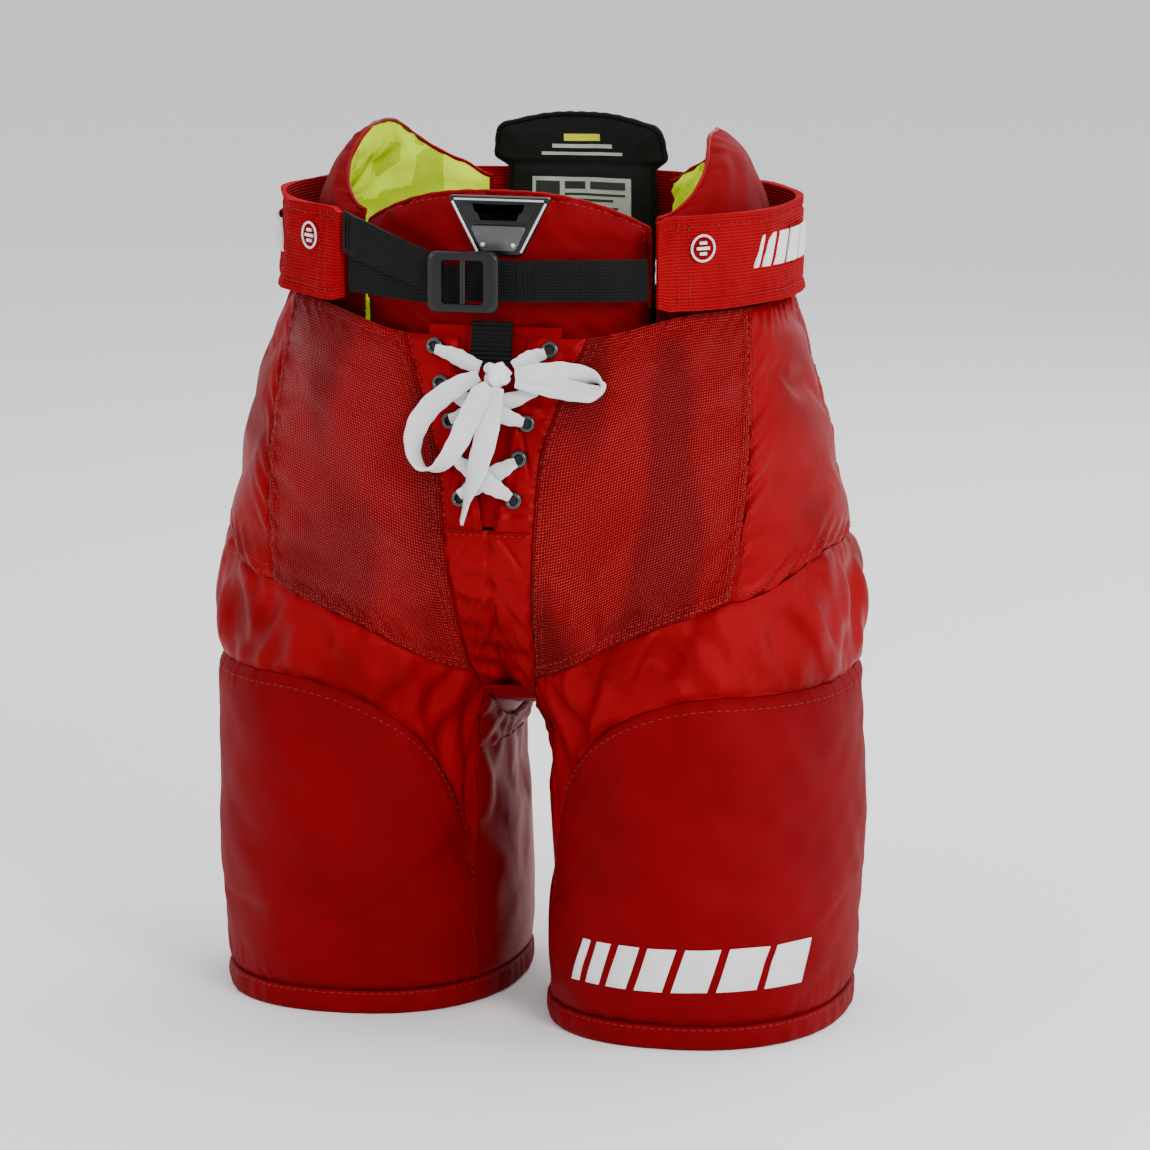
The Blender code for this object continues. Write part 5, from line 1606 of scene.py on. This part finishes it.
def buckle():
    """The ladder-lock: a bevelled frame round two slots, with a knurled bar and a raised lip."""
    outer = rounded_outline(*BUCKLE_HALF, 0.0042)
    inner = rounded_outline(*WINDOW_HALF, 0.0018)
    section = ((0.0, -0.62), (0.06, -1.0), (0.5, -1.06), (0.90, -1.0), (1.0, -0.55), (1.0, 0.6), (0.92, 1.0),
               (0.06, 1.0), (0.0, 0.6))
    rings = []
    for near, far in zip(inner, outer):
        rings.append([(BUCKLE_CENTRE.x + mix(near[0], far[0], s), BUCKLE_CENTRE.y + BUCKLE_HALF_DEPTH * d,
                       BUCKLE_CENTRE.z + mix(near[1], far[1], s)) for s, d in section])
    count, sides = len(rings), len(section)
    verts = [v for ring in rings for v in ring]
    faces = []
    for i in range(count):
        j = (i + 1) % count
        for k in range(sides):
            m = (k + 1) % sides
            faces.append((i * sides + k, i * sides + m, j * sides + m, j * sides + k))
    frame_piece = add_mesh("ladder_lock_frame", verts, faces, MATERIALS["plastic"], [(0.0, 0.0)] * len(verts))
    bm = bmesh.new()
    bm.from_mesh(frame_piece.data)
    bmesh.ops.recalc_face_normals(bm, faces=bm.faces)
    bm.to_mesh(frame_piece.data)
    bm.free()
    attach(frame_piece, "buckle")
    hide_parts("buckle_frame")
    for number, (offset, radius) in enumerate(((-0.0002, 0.0017), (0.0135, 0.0012))):
        heights = np.linspace(-0.0112, 0.0112, 60)
        angles = 2 * math.pi * np.arange(16) / 16
        thick = radius * (1 + 0.05 * np.sin(heights * 2 * math.pi / 0.0016))
        rings = np.stack([BUCKLE_CENTRE.x + offset + np.cos(angles)[None, :] * thick[:, None],
                          BUCKLE_CENTRE.y - 0.0002 + np.sin(angles)[None, :] * thick[:, None] * 0.8,
                          BUCKLE_CENTRE.z + heights[:, None] + 0.0 * angles[None, :]], axis=-1)
        bar = tube_mesh(f"ladder_lock_bar_{number + 1}", rings, MATERIALS["plastic"])
        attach(bar, "buckle")


def plate(name, corners, y_back, depth, bevel, material, node):
    """A bevelled plate with the given corners, facing the front."""
    bm = bmesh.new()
    front = bm.faces.new([bm.verts.new((BADGE_X + x, y_back - depth, z)) for x, z in corners])
    grown = bmesh.ops.extrude_face_region(bm, geom=[front])
    moved = [item for item in grown["geom"] if isinstance(item, bmesh.types.BMVert)]
    bmesh.ops.translate(bm, vec=(0.0, depth, 0.0), verts=moved)
    bmesh.ops.recalc_face_normals(bm, faces=bm.faces)
    upright = [e for e in bm.edges if abs(e.verts[0].co.y - e.verts[1].co.y) > depth / 2]
    bmesh.ops.bevel(bm, geom=upright, offset=0.0020, segments=5, affect="EDGES", profile=0.5)
    rim = [e for e in bm.edges
           if all(abs(v.co.y - (y_back - depth)) < 1e-6 for v in e.verts) and len(e.link_faces) == 2]
    bmesh.ops.bevel(bm, geom=rim, offset=bevel, segments=3, affect="EDGES", profile=0.5)
    mesh = bpy.data.meshes.new(name)
    bm.to_mesh(mesh)
    bm.free()
    mesh.materials.append(material)
    mesh.shade_smooth()
    mesh.set_sharp_from_angle(angle=math.radians(30))
    piece = placed(name, mesh)
    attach(piece, "girdle")
    if node:
        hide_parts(node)
    return piece


def trapezoid(top, bottom, high, low):
    return ((-bottom, low), (bottom, low), (top, high), (-top, high))


def silver_line(name, start, end, y, thick=0.0006):
    """A thin painted line along one edge of the badge."""
    a, b = Vector((BADGE_X + start[0], y, start[1])), Vector((BADGE_X + end[0], y, end[1]))
    ahead = (b - a).normalized()
    beside = ahead.cross(Vector((0.0, -1.0, 0.0)))
    rings = []
    for share in steps(12):
        point = a.lerp(b, float(share))
        rings.append([tuple(point + beside * thick * math.cos(t)
                            + Vector((0, -1, 0)) * thick * 0.6 * math.sin(t))
                      for t in 2 * math.pi * np.arange(8) / 8])
    piece = tube_mesh(name, np.array(rings), MATERIALS["silver"])
    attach(piece, "girdle")


def badge():
    """The moulded badge: a black plate with painted edge lines, a pale insert and two rivets."""
    for name, corners, y_back, depth, bevel, material, node, slot_name in (
            ("badge_moulding", (0.0255, 0.0112, 0.4135, 0.3850), -0.0890, 0.0035, 0.0009, "plastic",
             "badge_plate", "black_plastic"),
            ("badge_panel", (0.0188, 0.0150, 0.4105, 0.4015), -0.0922, 0.0011, 0.0004, "plastic",
             None, "black_plastic"),
            ("badge_face", (0.0140, 0.0085, 0.3995, 0.3875), -0.0928, 0.0015, 0.0004, "badge_face",
             "badge_insert", "silver_paint"),
            ("badge_bar_upper", (0.0125, 0.0118, 0.4090, 0.4070), -0.0932, 0.0005, 0.0001, "silver",
             None, "silver_paint"),
            ("badge_bar_lower", (0.0100, 0.0092, 0.4052, 0.4032), -0.0932, 0.0005, 0.0001, "print_yellow",
             None, "silver_paint")):
        plate(name, trapezoid(*corners), y_back, depth, bevel, MATERIALS[material], node)
    y = -0.0926
    silver_line("badge_line_left", (-0.0232, 0.4108), (-0.0108, 0.3868), y)
    silver_line("badge_line_right", (0.0232, 0.4108), (0.0108, 0.3868), y)
    silver_line("badge_line_top", (-0.0222, 0.4119), (0.0222, 0.4119), y, 0.0005)
    for side in (1, -1):
        bm = bmesh.new()
        bmesh.ops.create_uvsphere(bm, u_segments=24, v_segments=14, radius=RIVET_RADIUS)
        mesh = bpy.data.meshes.new(f"badge_dome_{side_name(side)}")
        bm.to_mesh(mesh)
        bm.free()
        mesh.materials.append(MATERIALS["silver"])
        mesh.shade_smooth()
        rivet = bpy.data.objects.new(mesh.name, mesh)
        rivet.location = (BADGE_X + side * RIVET_PLACE[0], *RIVET_PLACE[1:])
        bpy.context.scene.collection.objects.link(rivet)
        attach(rivet, "girdle")
        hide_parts(f"badge_rivet_{side_name(side)}")


# ---------------------------------------------------------------- guards, floor and lights

def guard_finish():
    """The plastic guards keep their CAD shape and take a moulded finish."""
    for side in (1, -1):
        for part in ("thigh_guard", "hip_guard"):
            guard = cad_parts[f"{side_name(side)}_{part}"]
            guard.material_slots[0].material = MATERIALS["guard"]
    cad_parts["tailbone_guard"].material_slots[0].material = MATERIALS["guard"]


def stage_floor():
    material = bpy.data.materials.new("floor_white")
    material.use_nodes = True
    bsdf = material.node_tree.nodes["Principled BSDF"]
    bsdf.inputs["Base Color"].default_value = (0.92, 0.92, 0.93, 1.0)
    bsdf.inputs["Roughness"].default_value = 0.75
    mesh = bpy.data.meshes.new("studio_floor")
    size = 6.0
    mesh.from_pydata([(-size, -size, 0), (size, -size, 0), (size, size, 0), (-size, size, 0)], [],
                     [(0, 1, 2, 3)])
    mesh.materials.append(material)
    floor = bpy.data.objects.new("studio_floor", mesh)
    floor.location.z = -0.0002
    bpy.context.scene.collection.objects.link(floor)


def area_light(name, place, aim, size, power):
    data = bpy.data.lights.new(name, "AREA")
    data.shape = "RECTANGLE"
    data.size, data.size_y = size
    data.energy = power
    data.color = (1.0, 1.0, 1.0)
    light = bpy.data.objects.new(name, data)
    light.location = place
    light.rotation_euler = (Vector(aim) - Vector(place)).to_track_quat("-Z", "Y").to_euler()
    bpy.context.scene.collection.objects.link(light)


def studio():
    world = bpy.data.worlds.new("studio")
    world.use_nodes = True
    world.node_tree.nodes["Background"].inputs["Color"].default_value = (0.96, 0.97, 0.98, 1.0)
    world.node_tree.nodes["Background"].inputs["Strength"].default_value = 1.0
    bpy.context.scene.world = world
    area_light("key", (1.3, -1.4, 1.3), (0.0, 0.0, 0.22), (0.7, 0.9), 30.0)
    area_light("fill", (-1.5, -1.3, 0.9), (0.0, 0.0, 0.22), (1.0, 1.2), 9.0)
    area_light("top", (0.0, 0.3, 1.9), (0.0, 0.0, 0.25), (1.2, 1.0), 14.0)
    area_light("back", (0.5, 1.7, 1.2), (0.0, 0.0, 0.25), (1.2, 0.8), 12.0)
    area_light("rim", (1.9, 0.2, 0.7), (0.0, 0.0, 0.22), (0.4, 1.3), 12.0)


def build():
    lace()
    for side in (1, -1):
        for row, (height, distance) in enumerate(EYELET_ROWS):
            eyelet(side, row + 1, height, distance)
    lace_keeper()
    fly_tongue()
    front_gusset()
    crotch_gusset()
    for side in (1, -1):
        mesh_panel(side)
        side_panel(side)
        seat_panel(side)
        fly_facing(side)
        flex_gusset(side)
        seam_tuck(side)
        thigh_pad(side)
        inner_thigh_panel(side)
        hem_binding(side)
        kidney_pad(side)
        belt_wing(side)
        wing_mark(side)
        inner_lining(side)
    belly_pad()
    spine_pad()
    straps()
    buckle()
    badge()
    guard_finish()


build()
stage_floor()
studio()
